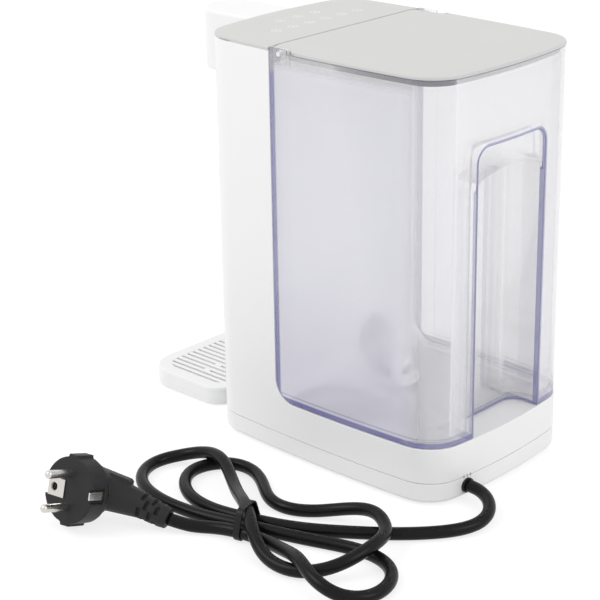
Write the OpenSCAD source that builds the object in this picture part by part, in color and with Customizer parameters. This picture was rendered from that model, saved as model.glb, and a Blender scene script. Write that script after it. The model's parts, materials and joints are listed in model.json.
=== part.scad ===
// Instant hot-water dispenser with a lift-off tank, touch panel and drip tray.
// Millimetres. +Z is up, the spout and the drip tray point to -Y, the tank is at the back.

/* [Body] */
// Height from the table to the top of the lid
body_h = 251; // [235:1:270]
// Width of the body at its widest
body_w = 132; // [126:1:145]
// Depth of the body without spout and tray
body_d = 185; // [175:1:200]
// Radius of the four upright corners
corner_r = 19; // [15:1:24]
// Bulge of each side wall at mid depth
side_crown = 3.7; // [2:0.1:5]
// Bulge of the front and back walls at mid width
end_crown = 5.5; // [3:0.1:6.5]
// Depth of the white column in front of the tank
column_d = 61; // [56:1:68]
// Wall thickness of the white mouldings
wall = 2.5; // [2:0.1:3]
// Height of the deck that carries the tank
deck_h = 35.4; // [33:0.2:42]
// Height of the seam between housing and bottom cover
seam_h = 14; // [12.5:0.1:16]
// Air under the bottom cover
ground_gap = 1.6; // [1.2:0.1:2.5]
// Thickness of the floor of the bottom cover
floor_t = 2.5; // [2:0.1:3]

/* [Lid and panel] */
// Thickness of lid and panel at their plateau
cap_t = 2.4; // [2:0.1:3]
// Upright part of the cap edge
cap_edge = 0.9; // [0.6:0.1:1.4]
// Width of the sloping border of lid and panel
cap_border = 9; // [6:0.5:12]
// Distance from the tank front to the hinge axis
hinge_back = 7.3; // [6.8:0.1:9]
// Depth of the hinge axis below the lid top
hinge_drop = 3.4; // [3:0.1:4]
// Radius of a hinge pin
pin_r = 1.6; // [1.2:0.1:1.8]
// Radius of the lid's rounded front edge about the hinge axis
lid_nose_r = 7; // [6.4:0.1:7.1]
// Length of a tank ear, front to back
ear_l = 14; // [12:0.5:17]
// Height of the skirt under the lid
skirt_h = 4.2; // [3:0.2:6]

/* [Tank] */
// Wall thickness of the tank
tank_wall = 2.6; // [2:0.1:3]
// Thickness of the tank floor
tank_floor = 3; // [2.5:0.1:4]
// Air between the tank and what it stands against
tank_gap = 0.3; // [0.2:0.1:0.6]
// Radius of the tank's lower front edge
scoop_r = 14; // [10:1:18]
// Width of the finger grip in the back
grip_w = 60; // [52:1:66]
// Height of the grip's upper end above the table
grip_top = 206.5; // [190:0.5:215]
// Height of the band between the grip's outline and the pocket
grip_band = 14.5; // [10:0.5:20]
// Depth of that band
band_depth = 1.6; // [1:0.1:2]
// Depth of the finger pocket at mid width
grip_depth = 20.5; // [16:0.5:24]
// Radius of the upper corners of the grip
grip_r = 8.5; // [6:0.5:11]

/* [Spout and tray] */
// Half width and nose radius of the spout head
spout_r = 18; // [15:0.5:20]
// Reach of the spout head in front of the column
spout_reach = 50; // [42:1:56]
// Height of the spout head
spout_h = 37; // [35:1:44]
// Radius of the nozzle bore
nozzle_r = 3; // [2.5:0.1:4]
// Width of the drip tray
tray_w = 88.8; // [80:0.4:100]
// Distance from the front of the column to the front of the tray
tray_reach = 79.5; // [76:0.5:90]
// Air between tray and column
tray_gap = 10; // [8:0.5:14]
// Radius of the tray's front corners
tray_front_r = 20; // [14:0.5:24]
// Radius of the tray's rear corners
tray_rear_r = 14; // [12:0.5:18]
// Height of the tray without its grille
tray_h = 9.4; // [8.8:0.1:11]
// Thickness of the grille
grille_t = 3; // [2.5:0.1:4]
// Width of the plain border round the slots
grille_rim = 8.5; // [7:0.5:11]
// Pitch of the grille slots
slot_pitch = 4.9; // [4.5:0.1:5.5]
// Width of a grille slot
slot_w = 2; // [1.5:0.1:2.4]

/* [Water and electrics] */
// Radius of the heater can
heater_r = 18; // [15:0.5:19]
// Height of the heater can
heater_h = 100; // [80:2:110]
// Radius of the pump motor
motor_r = 14; // [12:0.5:16]
// Outer radius of the hoses
hose_r = 4.2; // [4:0.1:5]
// Bore radius of the hoses
hose_bore = 2.8; // [2.2:0.1:3]
// Radius of the valve neck under the tank
neck_r = 9.8; // [9:0.1:11]
// Diameter of the mains lead
cord_d = 7.4; // [6.8:0.1:8]

/* [Hidden] */

$fn = 48;
eps = 0.01;
far = 400;
clear = 0.2;

// The whole part is centred on its depth, tray included
total_d = body_d + tray_reach;
body_y = total_d / 2 - body_d / 2;
// From here on, y is measured from the middle of the body
front_y = -body_d / 2;
back_y = body_d / 2;
column_back = front_y + column_d;
tank_front = column_back + tank_gap;
rim_z = body_h - cap_t;
tank_rim_z = rim_z - tank_gap;
tank_z = deck_h + tank_gap;
tank_in_z = tank_z + tank_floor;
floor_z = ground_gap + floor_t;
deck_under = deck_h - wall;
panel_gap = 0.15;

hinge_y = tank_front + hinge_back;
hinge_z = body_h - hinge_drop;
ear_in = body_w / 2 - tank_gap - tank_wall - 0.2;

// Point of a rounded rectangle's corner arc
function corner(a, b, r, start) =
    [for (i = [0:6]) let (t = start + 15 * i)
        [sign(cos(start + 45)) * (a - r) + r * cos(t), sign(sin(start + 45)) * (b - r) + r * sin(t)]];
// Points strictly between p and q
function between(p, q, n) = [for (i = [1:n - 1]) p + (q - p) * i / n];
// Rounded rectangle with in-between points on its straight sides
function plain(a, b, r) =
    let (c = [for (k = [0:3]) corner(a, b, r, 90 * k)])
    [for (k = [0:3]) for (p = concat(c[k], between(c[k][6], c[(k + 1) % 4][0], k % 2 == 0 ? 6 : 8))) p];
// Crowned plan of the body, drawn in by an inset
function outline(inset = 0) =
    let (a = body_w / 2 - inset, b = body_d / 2 - inset, r = max(corner_r - inset, 2))
    [for (p = plain(a, b, r))
        [p[0] * (1 - side_crown * pow(p[1] / b, 2) / a), p[1] * (1 - end_crown * pow(p[0] / a, 2) / b)]];
// y of the crowned front or back wall at a given x
function wall_y(x, inset = 0) = body_d / 2 - inset - end_crown * pow(x / (body_w / 2 - inset), 2);

module at_body() translate([0, body_y, 0]) children();
module rise(z0, z1) translate([0, 0, z0]) linear_extrude(z1 - z0) children();
module plan(inset = 0) polygon(outline(inset));
// The plan in front of a line, and behind it
module plan_front(inset, y) intersection() {
    plan(inset);
    translate([-far / 2, y - far]) square([far, far]);
}
module plan_back(inset, y) intersection() {
    plan(inset);
    translate([-far / 2, y]) square([far, far]);
}
// Box from its two opposite corners
module block(lo, hi) translate(lo) cube(hi - lo);
module ring(r_out, r_in, z0, z1) rise(z0, z1) difference() {
    circle(r_out);
    circle(r_in);
}
module rod_x(r, x0, x1, $fn = 48) translate([x0, 0, 0]) rotate([0, 90, 0]) cylinder(r = r, h = x1 - x0);
module rod_y(r, y0, y1) translate([0, y0, 0]) rotate([-90, 0, 0]) cylinder(r = r, h = y1 - y0);

// Smooth path of n steps that starts and ends at the first and last of its guide points
function spline_at(p, u) =
    let (i = min(floor(u), len(p) - 4), t = u - i)
    (pow(1 - t, 3) * p[i] + (3 * pow(t, 3) - 6 * t * t + 4) * p[i + 1]
        + (-3 * pow(t, 3) + 3 * t * t + 3 * t + 1) * p[i + 2] + pow(t, 3) * p[i + 3]) / 6;
function spline(g, n) =
    let (e = len(g) - 1, p = concat([2 * g[0] - g[1]], g, [2 * g[e] - g[e - 1]]))
    [for (i = [0:n]) spline_at(p, i * e / n)];
function unit(v) = v / norm(v);
function tangents(p) =
    [for (i = [0:len(p) - 1]) unit(p[min(i + 1, len(p) - 1)] - p[max(i - 1, 0)])];
// One sideways direction per point, carried along without twisting
function sideways(t) =
    [for (i = 0, s = unit(cross(t[0], abs(t[0][2]) > 0.9 ? [1, 0, 0] : [0, 0, 1])); i < len(t);
        i = i + 1, s = i < len(t) ? unit(s - (s * t[i]) * t[i]) : s) s];
function rings(path, r, n) =
    let (t = tangents(path), s = sideways(t))
    [for (i = [0:len(path) - 1]) for (k = [0:n - 1])
        path[i] + r * (cos(360 * k / n) * s[i] + sin(360 * k / n) * cross(t[i], s[i]))];
// Tube with n sides along a path, solid where r_in is 0
module tube(path, r, r_in, n) {
    m = len(path);
    in = m * n;
    last = (m - 1) * n;
    skin = [for (i = [0:m - 2]) for (k = [0:n - 1]) let (a = i * n + k, b = i * n + (k + 1) % n) [a, a + n, b + n, b]];
    bore = [for (f = skin) [f[3] + in, f[2] + in, f[1] + in, f[0] + in]];
    ends = [for (k = [0:n - 1]) for (e = [0, last]) let (a = e + k, b = e + (k + 1) % n)
        e == 0 ? [a, b, b + in, a + in] : [b, a, a + in, b + in]];
    if (r_in > 0) polyhedron(concat(rings(path, r, n), rings(path, r_in, n)), concat(skin, bore, ends));
    else polyhedron(rings(path, r, n), concat(skin, [[for (k = [0:n - 1]) k], [for (k = [n - 1:-1:0]) last + k]]));
}
module hose(points) tube(spline(points, 3 * len(points)), hose_r, (hose_bore + 0.05) / cos(18), 10);

// Places of the screws under the bottom cover
screw_x = body_w / 2 - wall - 12;
screw_spots = [for (sx = [-1, 1]) for (y = [front_y + 18, back_y - 20]) [sx * screw_x, y]];
foot_spots = [for (sx = [-1, 1]) for (y = [front_y + 30, back_y - 34]) [sx * (body_w / 2 - 22), y]];
screw_r = 1.5;
boss_r = 4;
boss_z = floor_z + 5;
screw_top = boss_z + 10;
foot_r = 7;
stem_r = 3;

// Coupling between tank and base
port = [0, 6];
nut_r = neck_r + 3.4;
cup_in = nut_r + 0.3;
cup_out = cup_in + 3.2;
cup_z = deck_h - 9.2;
cup_floor = 2.2;
spigot_l = 6;
pin_top = cup_z + 4.6;
seal_z = cup_z + cup_floor;

// Window in the front of the cover for the tongue of the tray
tongue_w = 48;
tongue_z = floor_z + 0.4;
tongue_top = tongue_z + 4.4;

// Spout
spout_mid = front_y - spout_reach + spout_r;
spout_top = rim_z + cap_edge + 0.8;
spout_z = spout_top - spout_h;
hose_z = spout_z + 19;
window_w = 22;

// Heater, pump and board
core_y = front_y + wall + heater_r + 9;
heater_x = -22;
heater_z = 84;
can_t = 1.6;
rear_wall_y = column_back - wall;
pump_z = floor_z + 2.6 + motor_r + 5;
pump_x = 8;
head_r = motor_r + 2;
head_w = 16;
board_t = 1.6;
standoff = 4;
board_x = 6;
board_w = 46;
board_z = 84;
board_h = 100;
board_y = rear_wall_y - standoff;
board_spots = [for (x = [board_x + 5, board_x + board_w - 5]) for (z = [board_z + 5, board_z + board_h - 5]) [x, z]];

// Cord exit
exit_x = 35;
exit_z = 7.9;
exit_y = wall_y(exit_x);
gland_r = cord_d / 2 + 0.9;
slit_pitch = 2.6;
slit_w = 0.9;

module housing() color("whitesmoke") at_body() difference() {
    union() {
        difference() {
            union() {
                rise(seam_h, rim_z) plan_front(0, column_back);
                rise(seam_h, deck_h) plan();
                intersection() {
                    rise(deck_h - 1, deck_h + scoop_r) plan();
                    difference() {
                        block([-far / 2, column_back - 1, deck_h - 1],
                            [far / 2, column_back + scoop_r, deck_h + scoop_r]);
                        translate([0, column_back + scoop_r, deck_h + scoop_r]) rod_x(scoop_r, -far, far);
                    }
                }
            }
            rise(seam_h - 1, rim_z + 1) plan_front(wall, column_back - wall);
            rise(seam_h - 1, deck_under) plan(wall);
        }
        // Posts for the cover screws stand under the deck and along the column walls
        for (s = screw_spots) intersection() {
            translate([s[0], s[1], boss_z]) cylinder(r = boss_r, h = (s[1] > 0 ? deck_h - 1 : 60) - boss_z);
            rise(0, body_h) plan(wall / 2);
        }
        for (s = screw_spots, side = sign(s[0]) * body_w / 2) intersection() {
            block([min(s[0], side), s[1] - 1, seam_h + 0.1], [max(s[0], side), s[1] + 1, deck_under + 1]);
            rise(0, body_h) plan(wall / 2);
        }
        // Standoffs of the power board
        for (s = board_spots) translate([s[0], 0, s[1]]) rod_y(3, board_y, rear_wall_y + 1);
    }
    for (s = screw_spots) translate([s[0], s[1], boss_z - 1]) cylinder(r = screw_r, h = screw_top - boss_z + 1);
    for (s = board_spots) translate([s[0], 0, s[1]]) rod_y(1, board_y - 1, rear_wall_y + 1);
    translate([port[0], port[1], deck_under - 1]) cylinder(r = cup_out + clear, h = wall + 2);
    // Way for the outlet hose into the spout head
    block([-window_w / 2, front_y - 2, spout_z + 7], [window_w / 2, front_y + wall + 6, spout_top - 8]);
    // Bores for the screws of the spout head
    for (sx = [-1, 1]) translate([sx * spout_r * 0.8, 0, spout_z + 4]) rod_y(screw_r, front_y - 2, front_y + wall + 4);
    // Upper end of the opening for the lead
    translate([exit_x, 0, exit_z]) rod_y(gland_r, exit_y - 10, exit_y + 10);
    exit_slits();
}

// Three short slits that cross the seam above the lead
module exit_slits() for (i = [-1:1], x = exit_x + slit_pitch * i)
    block([x - slit_w / 2, exit_y - wall - 1, exit_z + gland_r + 0.4], [x + slit_w / 2, exit_y + 5, seam_h + 0.9]);

module bottom_cover() color("whitesmoke") at_body() difference() {
    union() {
        difference() {
            union() {
                hull() {
                    rise(ground_gap, ground_gap + eps) plan(1.6);
                    rise(ground_gap + 2, ground_gap + 2 + eps) plan();
                }
                rise(ground_gap + 2, seam_h - 0.3) plan();
            }
            rise(floor_z, seam_h) plan(wall);
        }
        for (s = screw_spots) translate([s[0], s[1], floor_z - 1]) cylinder(r = boss_r, h = boss_z - 0.1 - floor_z + 1);
        // Saddle that clamps the cord gland
        block([exit_x - gland_r - 3, exit_y - 12, floor_z - 1], [exit_x + gland_r + 3, exit_y - 8, exit_z]);
    }
    for (s = screw_spots) {
        translate([s[0], s[1], 0]) cylinder(r = screw_r, h = boss_z + 1);
        translate([s[0], s[1], 0]) cylinder(r = 3.2, h = floor_z + 1);
    }
    for (s = foot_spots) translate([s[0], s[1], 0]) cylinder(r = stem_r, h = floor_z + 1);
    // Notch for the gland, open to the seam
    translate([exit_x, 0, exit_z]) rod_y(gland_r, exit_y - 20, exit_y + 10);
    block([exit_x - gland_r, exit_y - 13, exit_z], [exit_x + gland_r, exit_y - wall - 0.5, seam_h + 1]);
    exit_slits();
    // Slot for the tray tongue
    block([-tongue_w / 2 - 0.4, front_y - 5, floor_z], [tongue_w / 2 + 0.4, front_y + 14, tongue_top + 0.3]);
    // Vents under the pump
    for (i = [-2:2]) block([i * 7 - 1.2, -20, 0], [i * 7 + 1.2, 10, floor_z + 1]);
}

module feet() color("dimgray") at_body() for (s = foot_spots) translate([s[0], s[1], 0]) {
    cylinder(r = foot_r, h = ground_gap);
    cylinder(r = stem_r, h = floor_z + 0.6);
    translate([0, 0, floor_z]) cylinder(r = stem_r + 0.8, h = 1);
}

module cover_screws() color("silver") at_body() for (s = screw_spots) translate([s[0], s[1], 0]) {
    rise(floor_z - 1.4, floor_z + 1) circle(3);
    rise(floor_z, screw_top - 1) circle(screw_r);
}

// Cap with a low border slope, cut straight where panel and lid meet
module cap_form(front) {
    module cut(inset) {
        if (front) plan_front(inset, column_back - panel_gap);
        else plan_back(inset, hinge_y - lid_nose_r - 1);
    }
    rise(rim_z, rim_z + cap_edge) cut(0);
    hull() {
        rise(rim_z + cap_edge - eps, rim_z + cap_edge) cut(0);
        rise(body_h - eps, body_h) cut(cap_border);
    }
}

module control_panel() color("lightgray") at_body() {
    cap_form(true);
    difference() {
        rise(rim_z - 7, rim_z + eps) plan_front(wall + clear, column_back - wall - clear);
        rise(rim_z - 8, rim_z) plan_front(wall + clear + 1.8, column_back - wall - clear - 1.8);
    }
    for (s = panel_posts) translate([s[0], s[1], board_top]) cylinder(r = 2.2, h = rim_z - board_top + eps);
}

// Touch board hangs from four posts under the panel
board_top = rim_z - 6;
touch_w = 96;
touch_d = 36;
touch_y = front_y + 31;
panel_posts = [for (sx = [-1, 1]) for (sy = [-1, 1]) [sx * (touch_w / 2 - 4), touch_y + sy * (touch_d / 2 - 4)]];
key_spots = concat(
    [for (i = [-1:1]) [i * 15, touch_y - 9]],
    [for (i = [-2.5:2.5]) [i * 14, touch_y + 7]]);

module touch_board() color("seagreen") at_body()
    rise(board_top - board_t, board_top) translate([-touch_w / 2, touch_y - touch_d / 2]) square([touch_w, touch_d]);

module touch_springs() color("silver") at_body()
    for (s = key_spots) translate([s[0], s[1], 0]) ring(3, 2.2, board_top, rim_z);

// U-shaped plan of the spout head, drawn in by an inset
module spout_plan(inset = 0) {
    translate([0, spout_mid]) circle(spout_r - inset);
    translate([-spout_r + inset, spout_mid]) square([2 * (spout_r - inset), spout_reach - spout_r + end_crown]);
}

module spout_head() color("whitesmoke") at_body() difference() {
    union() {
        rise(spout_z, spout_top - 1.2) spout_plan();
        hull() {
            rise(spout_top - 1.2 - eps, spout_top - 1.2) spout_plan();
            rise(spout_top - eps, spout_top) spout_plan(1.2);
        }
    }
    rise(0, body_h + 1) plan();
    difference() {
        rise(spout_z - 1, spout_top - 2.2) spout_plan(2.2);
        for (sx = [-1, 1]) translate([sx * spout_r * 0.8, 0, spout_z + 4]) rod_y(3, front_y - 10, front_y + 10);
    }
    for (sx = [-1, 1]) translate([sx * spout_r * 0.8, 0, spout_z + 4]) rod_y(screw_r, front_y - 8, front_y + 10);
}

module spout_cover() color("gainsboro") at_body() difference() {
    rise(spout_z + 0.4, spout_z + 2.4) spout_plan(2.2 + clear);
    rise(0, body_h) plan(-clear);
    for (sx = [-1, 1]) translate([sx * spout_r * 0.8, 0, spout_z + 4]) rod_y(3.4, front_y - 12, front_y + 10);
    translate([0, spout_mid, 0]) cylinder(r = nozzle_r + 2, h = body_h);
}

nozzle_top = hose_z - hose_r - 1;
module spout_screws() color("silver") at_body() for (sx = [-1, 1]) translate([sx * spout_r * 0.8, 0, spout_z + 4]) {
    rod_y(screw_r, front_y - 7, front_y + wall + 1);
    rod_y(2.8, front_y + wall + 0.5, front_y + wall + 2.2);
}

module spout_nozzle() color("silver") at_body() translate([0, spout_mid, 0]) difference() {
    union() {
        rise(spout_z - 5, nozzle_top) circle(nozzle_r + 2);
        rise(spout_z + 2.4, spout_z + 4) circle(nozzle_r + 4);
    }
    rise(spout_z - 6, spout_z + 8) circle(nozzle_r);
    rise(spout_z, hose_z) circle(nozzle_r - 1);
}

module heater() color("silver") at_body() translate([heater_x, core_y, 0]) difference() {
    union() {
        rise(heater_z, heater_z + heater_h) circle(heater_r);
        rise(heater_z - 3, heater_z + heater_h + 3) circle(heater_r - 5);
        rise(heater_z - 3 - spigot_l, heater_z + heater_h + 3 + spigot_l) circle(hose_bore);
    }
    rise(heater_z - 20, heater_z + heater_h + 20) circle(hose_bore - 1);
    rise(heater_z + can_t, heater_z + heater_h - can_t) circle(heater_r - can_t);
}

bracket_spots = [heater_z + 12, heater_z + heater_h - 20];
module heater_brackets() color("silver") at_body() for (z = bracket_spots) difference() {
    union() {
        translate([heater_x, core_y, 0]) ring(heater_r + 1.4, heater_r, z, z + 8);
        block([heater_x - 5, core_y + heater_r + 0.2, z], [heater_x + 5, rear_wall_y, z + 8]);
    }
    translate([heater_x, core_y, 0]) rise(z - 1, z + 9) circle(heater_r);
}

module thermal_cutout() color("dimgray") at_body() translate([heater_x, core_y, heater_z + heater_h / 2])
    intersection() {
        translate([-far / 2, -far / 2, -8]) cube([far, far, 16]);
        difference() {
            union() {
                rotate([0, -90, 0]) cylinder(r = 7, h = heater_r + 8);
                translate([-heater_r - 8, 0, 0]) rotate([0, -90, 0]) cylinder(r = 5, h = 3);
            }
            translate([0, 0, -20]) cylinder(r = heater_r, h = 40);
        }
    }

module pump_motor() color("dimgray") at_body() translate([0, core_y, pump_z]) {
    rod_x(motor_r, pump_x, pump_x + 32);
    rod_x(4, pump_x + 32, pump_x + 36);
}

module pump_head() color("gainsboro") at_body() translate([0, core_y, pump_z]) difference() {
    union() {
        rod_x(head_r, pump_x - head_w, pump_x);
        rod_x(hose_bore, pump_x - head_w - spigot_l, pump_x);
        translate([pump_x - head_w / 2, 0, 0]) cylinder(r = hose_bore, h = head_r + spigot_l);
    }
    rod_x(hose_bore - 1, pump_x - head_w - spigot_l - 1, pump_x - head_w + 4);
    translate([pump_x - head_w / 2, 0, head_r - 4]) cylinder(r = hose_bore - 1, h = 20);
}

module pump_seat() color("dimgray") at_body() difference() {
    block([pump_x + 4, core_y - motor_r, floor_z], [pump_x + 28, core_y + motor_r, pump_z - motor_r / 2]);
    translate([0, core_y, pump_z]) rod_x(motor_r, -far, far);
    block([pump_x + 9, core_y - far, floor_z + 2], [pump_x + 23, core_y + far, pump_z]);
}

module power_board() color("seagreen") at_body() union() {
    difference() {
        block([board_x, board_y - board_t, board_z], [board_x + board_w, board_y, board_z + board_h]);
        for (s = board_spots) translate([s[0], 0, s[1]]) rod_y(1.2, -far, far);
    }
    block([board_x + 6, board_y - 14, board_z + 14], [board_x + 22, board_y - 1, board_z + 30]);
    block([board_x + 26, board_y - 16, board_z + 12], [board_x + 40, board_y - 1, board_z + 40]);
    block([board_x + 12, board_y - 10, board_z + 60], [board_x + 34, board_y - 1, board_z + 66]);
    translate([board_x + 14, 0, board_z + 46]) rod_y(6, board_y - 20, board_y - 1);
}

module board_screws() color("silver") at_body() for (s = board_spots) translate([s[0], 0, s[1]]) {
    rod_y(2.2, board_y - board_t - 1.4, board_y - board_t);
    rod_y(1, board_y - board_t, board_y + standoff - 1);
}

hose_in = cup_z - 0.3;
pump_in = pump_x - head_w - 0.3;
pump_out = pump_z + head_r + 0.3;
heater_in = heater_z - 3.3;
heater_out = heater_z + heater_h + 3.3;
module inlet_hose() color("gainsboro") at_body() hose([
    [port[0], port[1], hose_in], [port[0], port[1], hose_in - 5], [port[0], port[1], hose_in - 10],
    [-2, port[1] - 3, floor_z + 6], [-12, -6, floor_z + 5.4], [-26, -26, floor_z + 6], [-38, core_y + 18, floor_z + 11],
    [-41, core_y + 4, pump_z - 5], [-33, core_y, pump_z], [pump_in - 10, core_y, pump_z], [pump_in - 5, core_y, pump_z],
    [pump_in, core_y, pump_z]]);

module pump_hose() color("gainsboro") at_body() hose([
    [pump_x - head_w / 2, core_y, pump_out], [pump_x - head_w / 2, core_y, pump_out + 5],
    [pump_x - head_w / 2, core_y, pump_out + 10], [-7, core_y, pump_out + 16], [-16, core_y, heater_in - 16],
    [heater_x, core_y, heater_in - 10], [heater_x, core_y, heater_in - 5], [heater_x, core_y, heater_in]]);

module outlet_hose() color("gainsboro") at_body() hose([
    [heater_x, core_y, heater_out], [heater_x, core_y, heater_out + 5], [heater_x, core_y, heater_out + 10],
    [-20, core_y - 3, hose_z - 12], [-12, core_y - 12, hose_z], [-3, front_y + 8, hose_z + 2],
    [0, front_y - 8, hose_z + 2], [0, spout_mid + 7, hose_z + 3], [0, spout_mid, hose_z + 1],
    [0, spout_mid, nozzle_top + 0.1]]);

module tank_coupling() color("whitesmoke") at_body() translate([port[0], port[1], 0]) difference() {
    union() {
        ring(cup_out, cup_in, cup_z, deck_h - 0.2);
        ring(cup_out + 4, cup_in, deck_under - 2, deck_under);
        rise(cup_z, cup_z + cup_floor) circle(cup_out);
        rise(cup_z - spigot_l, cup_z + 1) circle(hose_bore);
        rise(cup_z + 1, pin_top) circle(1.6);
    }
    // Water leaves by holes round the centre pin
    rise(cup_z - spigot_l - 1, cup_z + 0.8) circle(hose_bore - 1);
    for (a = [0:90:270]) rotate(a) translate([2.6, 0, cup_z - 0.4]) cylinder(r = 0.9, h = cup_floor + 2);
}

module coupling_seal() color("dimgray") at_body() translate([port[0], port[1], 0])
    ring(cup_in, neck_r + 0.1, seal_z, seal_z + 2);

module cord_gland() color([0.13, 0.13, 0.13]) at_body() translate([exit_x, 0, exit_z]) difference() {
    union() {
        rod_y(gland_r - 0.1, exit_y - 12, exit_y + 1);
        rod_y(gland_r + 2.2, exit_y - wall - 4, exit_y - wall - 1.5);
    }
    block([-20, -far, -20], [20, far, floor_z + 0.1 - exit_z]);
}

// Guide points of the mains lead on the table: a loose hank of four folds held by one tie
cord_floor = cord_d / 2;
cord_over = cord_d * 1.8;
tie_lift = 4.9;
cord_route = [
    [exit_x, exit_y + 1.2, exit_z], [exit_x, exit_y + 8, exit_z], [38.5, 109, 7], [48, 118, 5.4],
    [61, 121, 4], [75, 116, cord_floor],
    [88, 106, cord_floor], [100, 94, cord_floor], [111, 80, cord_floor], [121, 66, cord_floor],
    [130, 52, cord_floor], [139, 37, tie_lift], [145, 17, tie_lift], [148, -3, cord_floor],
    [146, -24, cord_floor], [135, -41, cord_floor], [120, -49, cord_floor], [104, -44, cord_floor],
    [96, -31, cord_floor], [98, -16, cord_floor], [107, -2, cord_floor], [118, 12, cord_floor],
    [120, 28, cord_floor], [111, 43, cord_floor], [101, 59, 8], [99, 79, cord_over], [110, 97, 10],
    [130, 104, cord_over], [153, 100, 8], [168, 85, cord_floor], [171, 62, 4], [163, 45, 11],
    [152, 31, 14.5], [142, 17, 13.8], [132, 2, 9], [120, -15, 8], [110, -32, cord_over],
    [106, -50, 10], [112, -65, 5], [126, -73, cord_floor], [142, -69, cord_floor],
    [154, -56, cord_floor], [160, -34, cord_floor], [158, -6, cord_floor], [153, 17, tie_lift],
    [147, 36, tie_lift], [139, 57, cord_floor], [131, 77, cord_floor], [125, 98, cord_floor],
    [130, 117, cord_floor], [145, 128, cord_floor], [163, 128, cord_floor], [175, 117, 6],
    [176, 100, 11], [167, 83, cord_over], [159, 65, 7], [155, 45, tie_lift], [158, 25, tie_lift],
    [163, 11, cord_floor], [170, 3, 4], [176, -8, 7]];
cord_rings = 78;
module power_cord() color([0.13, 0.13, 0.13]) at_body() tube(spline(cord_route, cord_rings), cord_d / 2, 0, 8);

// Band round the strands where they cross
tie_at = [150, 27, 0];
tie_turn = 16;
tie_t = 1;
tie_w = 4;
module tie_shape(grow) offset(grow) hull() for (sx = [-1, 1]) {
    translate([8 * sx, tie_lift]) circle(cord_d / 2);
    translate([4.5 * sx, 13.7]) circle(cord_d / 2);
}
module cord_tie() color([0.1, 0.1, 0.1]) at_body() translate(tie_at) rotate([90, 0, tie_turn])
    linear_extrude(tie_w, center = true) difference() {
        tie_shape(tie_t);
        tie_shape(0.1);
    }

// Angled plug: how it is turned, tilted and rolled on the table. In its own frame the face is
// at X = 0, the pins point to +X and stand apart along Z, and the neck runs back to +Y.
plug_turn = 3.4;
plug_tilt = 19.4;
plug_roll = 3.9;
plug_r = 18.8;
plug_disc = 13;
plug_pin_r = 2.4;
plug_pin_l = 19;
plug_pin_pitch = 19;
neck_a = [-19, 6, 1];
neck_b = [-29, 27, -3];
neck_c = [-36, 45, -8];
neck_v = neck_c - neck_b;
module at_plug() at_body() translate(cord_route[len(cord_route) - 1])
    rotate([0, -plug_tilt, plug_turn]) rotate([plug_roll, 0, 0]) translate(-neck_c) children();

module plug_body() color([0.13, 0.13, 0.13]) at_plug() {
    difference() {
        union() {
            rod_x(plug_r, -plug_disc, 0);
            // Guide ribs at both ends of the pin line
            for (sz = [-1, 1]) block([-plug_disc, -3.4, sz > 0 ? plug_r - 3 : -plug_r - 1.4],
                [0, 3.4, sz > 0 ? plug_r + 1.4 : 3 - plug_r]);
        }
        // Flats for the earth clips, and the earth socket
        block([-plug_disc + 3, plug_r - 2.6, -4], [1, plug_r + 1, 4]);
        block([-plug_disc + 3, -plug_r - 1, -5], [1, -plug_r + 5, 5]);
        translate([0, -10.5, 0]) rod_x(2.6, -10, 1);
    }
    hull() {
        rod_x(plug_r - 1.2, -plug_disc - 1, -plug_disc + eps, $fn = 32);
        rod_x(plug_r - 5, -plug_disc - 7, -plug_disc, $fn = 32);
        translate(neck_a) sphere(11, $fn = 20);
    }
    hull() {
        translate(neck_a) sphere(11, $fn = 20);
        translate(neck_b) sphere(7.8, $fn = 20);
    }
    // Thumb bar
    translate([-plug_disc - 11, 2, 10]) rotate([90, 0, 0]) linear_extrude(22, center = true) hull() {
        circle(2.2);
        translate([-4, 4]) circle(1.8);
    }
    // Ribbed relief round the lead
    translate(neck_b) rotate([0, acos(neck_v[2] / norm(neck_v)), atan2(neck_v[1], neck_v[0])]) {
        rise(0, norm(neck_v) - 0.2) circle(cord_d / 2 + 1);
        for (i = [0:4]) translate([0, 0, norm(neck_v) * (0.18 * i + 0.08)])
            cylinder(r1 = 7.4 - 0.35 * i, r2 = 7.2 - 0.35 * i, h = 2.4);
    }
}

module plug_pins() color("silver") at_plug() for (sz = [-1, 1]) translate([0, 0, sz * plug_pin_pitch / 2]) {
    rod_x(plug_pin_r, 0, plug_pin_l - 1.2);
    translate([plug_pin_l - 1.2 - eps, 0, 0]) rotate([0, 90, 0]) cylinder(r1 = plug_pin_r, r2 = plug_pin_r - 1.2, h = 1.2 + eps);
}

module plug_earth() color("silver") at_plug() {
    // Plate with the socket's mouth
    difference() {
        block([0, -15, -4.6], [0.8, -6, 4.6]);
        translate([0, -10.5, 0]) rod_x(2.6, -1, 2);
    }
    block([-plug_disc + 3, plug_r - 2.6, -2.2], [0.6, plug_r - 1.6, 2.2]);
}

// Plan of the drip tray, drawn in by an inset
tray_y0 = front_y - tray_reach;
tray_y1 = front_y - tray_gap;
module tray_plan(inset = 0) hull() for (sx = [-1, 1]) {
    translate([sx * (tray_w / 2 - tray_front_r), tray_y0 + tray_front_r]) circle(tray_front_r - inset);
    translate([sx * (tray_w / 2 - tray_rear_r), tray_y1 - tray_rear_r]) circle(tray_rear_r - inset);
}
tray_z = 0.6;
tray_wall = 2;

module drip_tray() color("whitesmoke") at_body() {
    difference() {
        rise(tray_z, tray_h) tray_plan();
        rise(tray_z + 2, tray_h + 1) tray_plan(tray_wall);
    }
    // Tongue that slides into the cover
    block([-tongue_w / 2, tray_y1 - 1, tongue_z], [tongue_w / 2, wall_y_front + 8, tongue_top]);
}
wall_y_front = -wall_y(tongue_w / 2);

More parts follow.
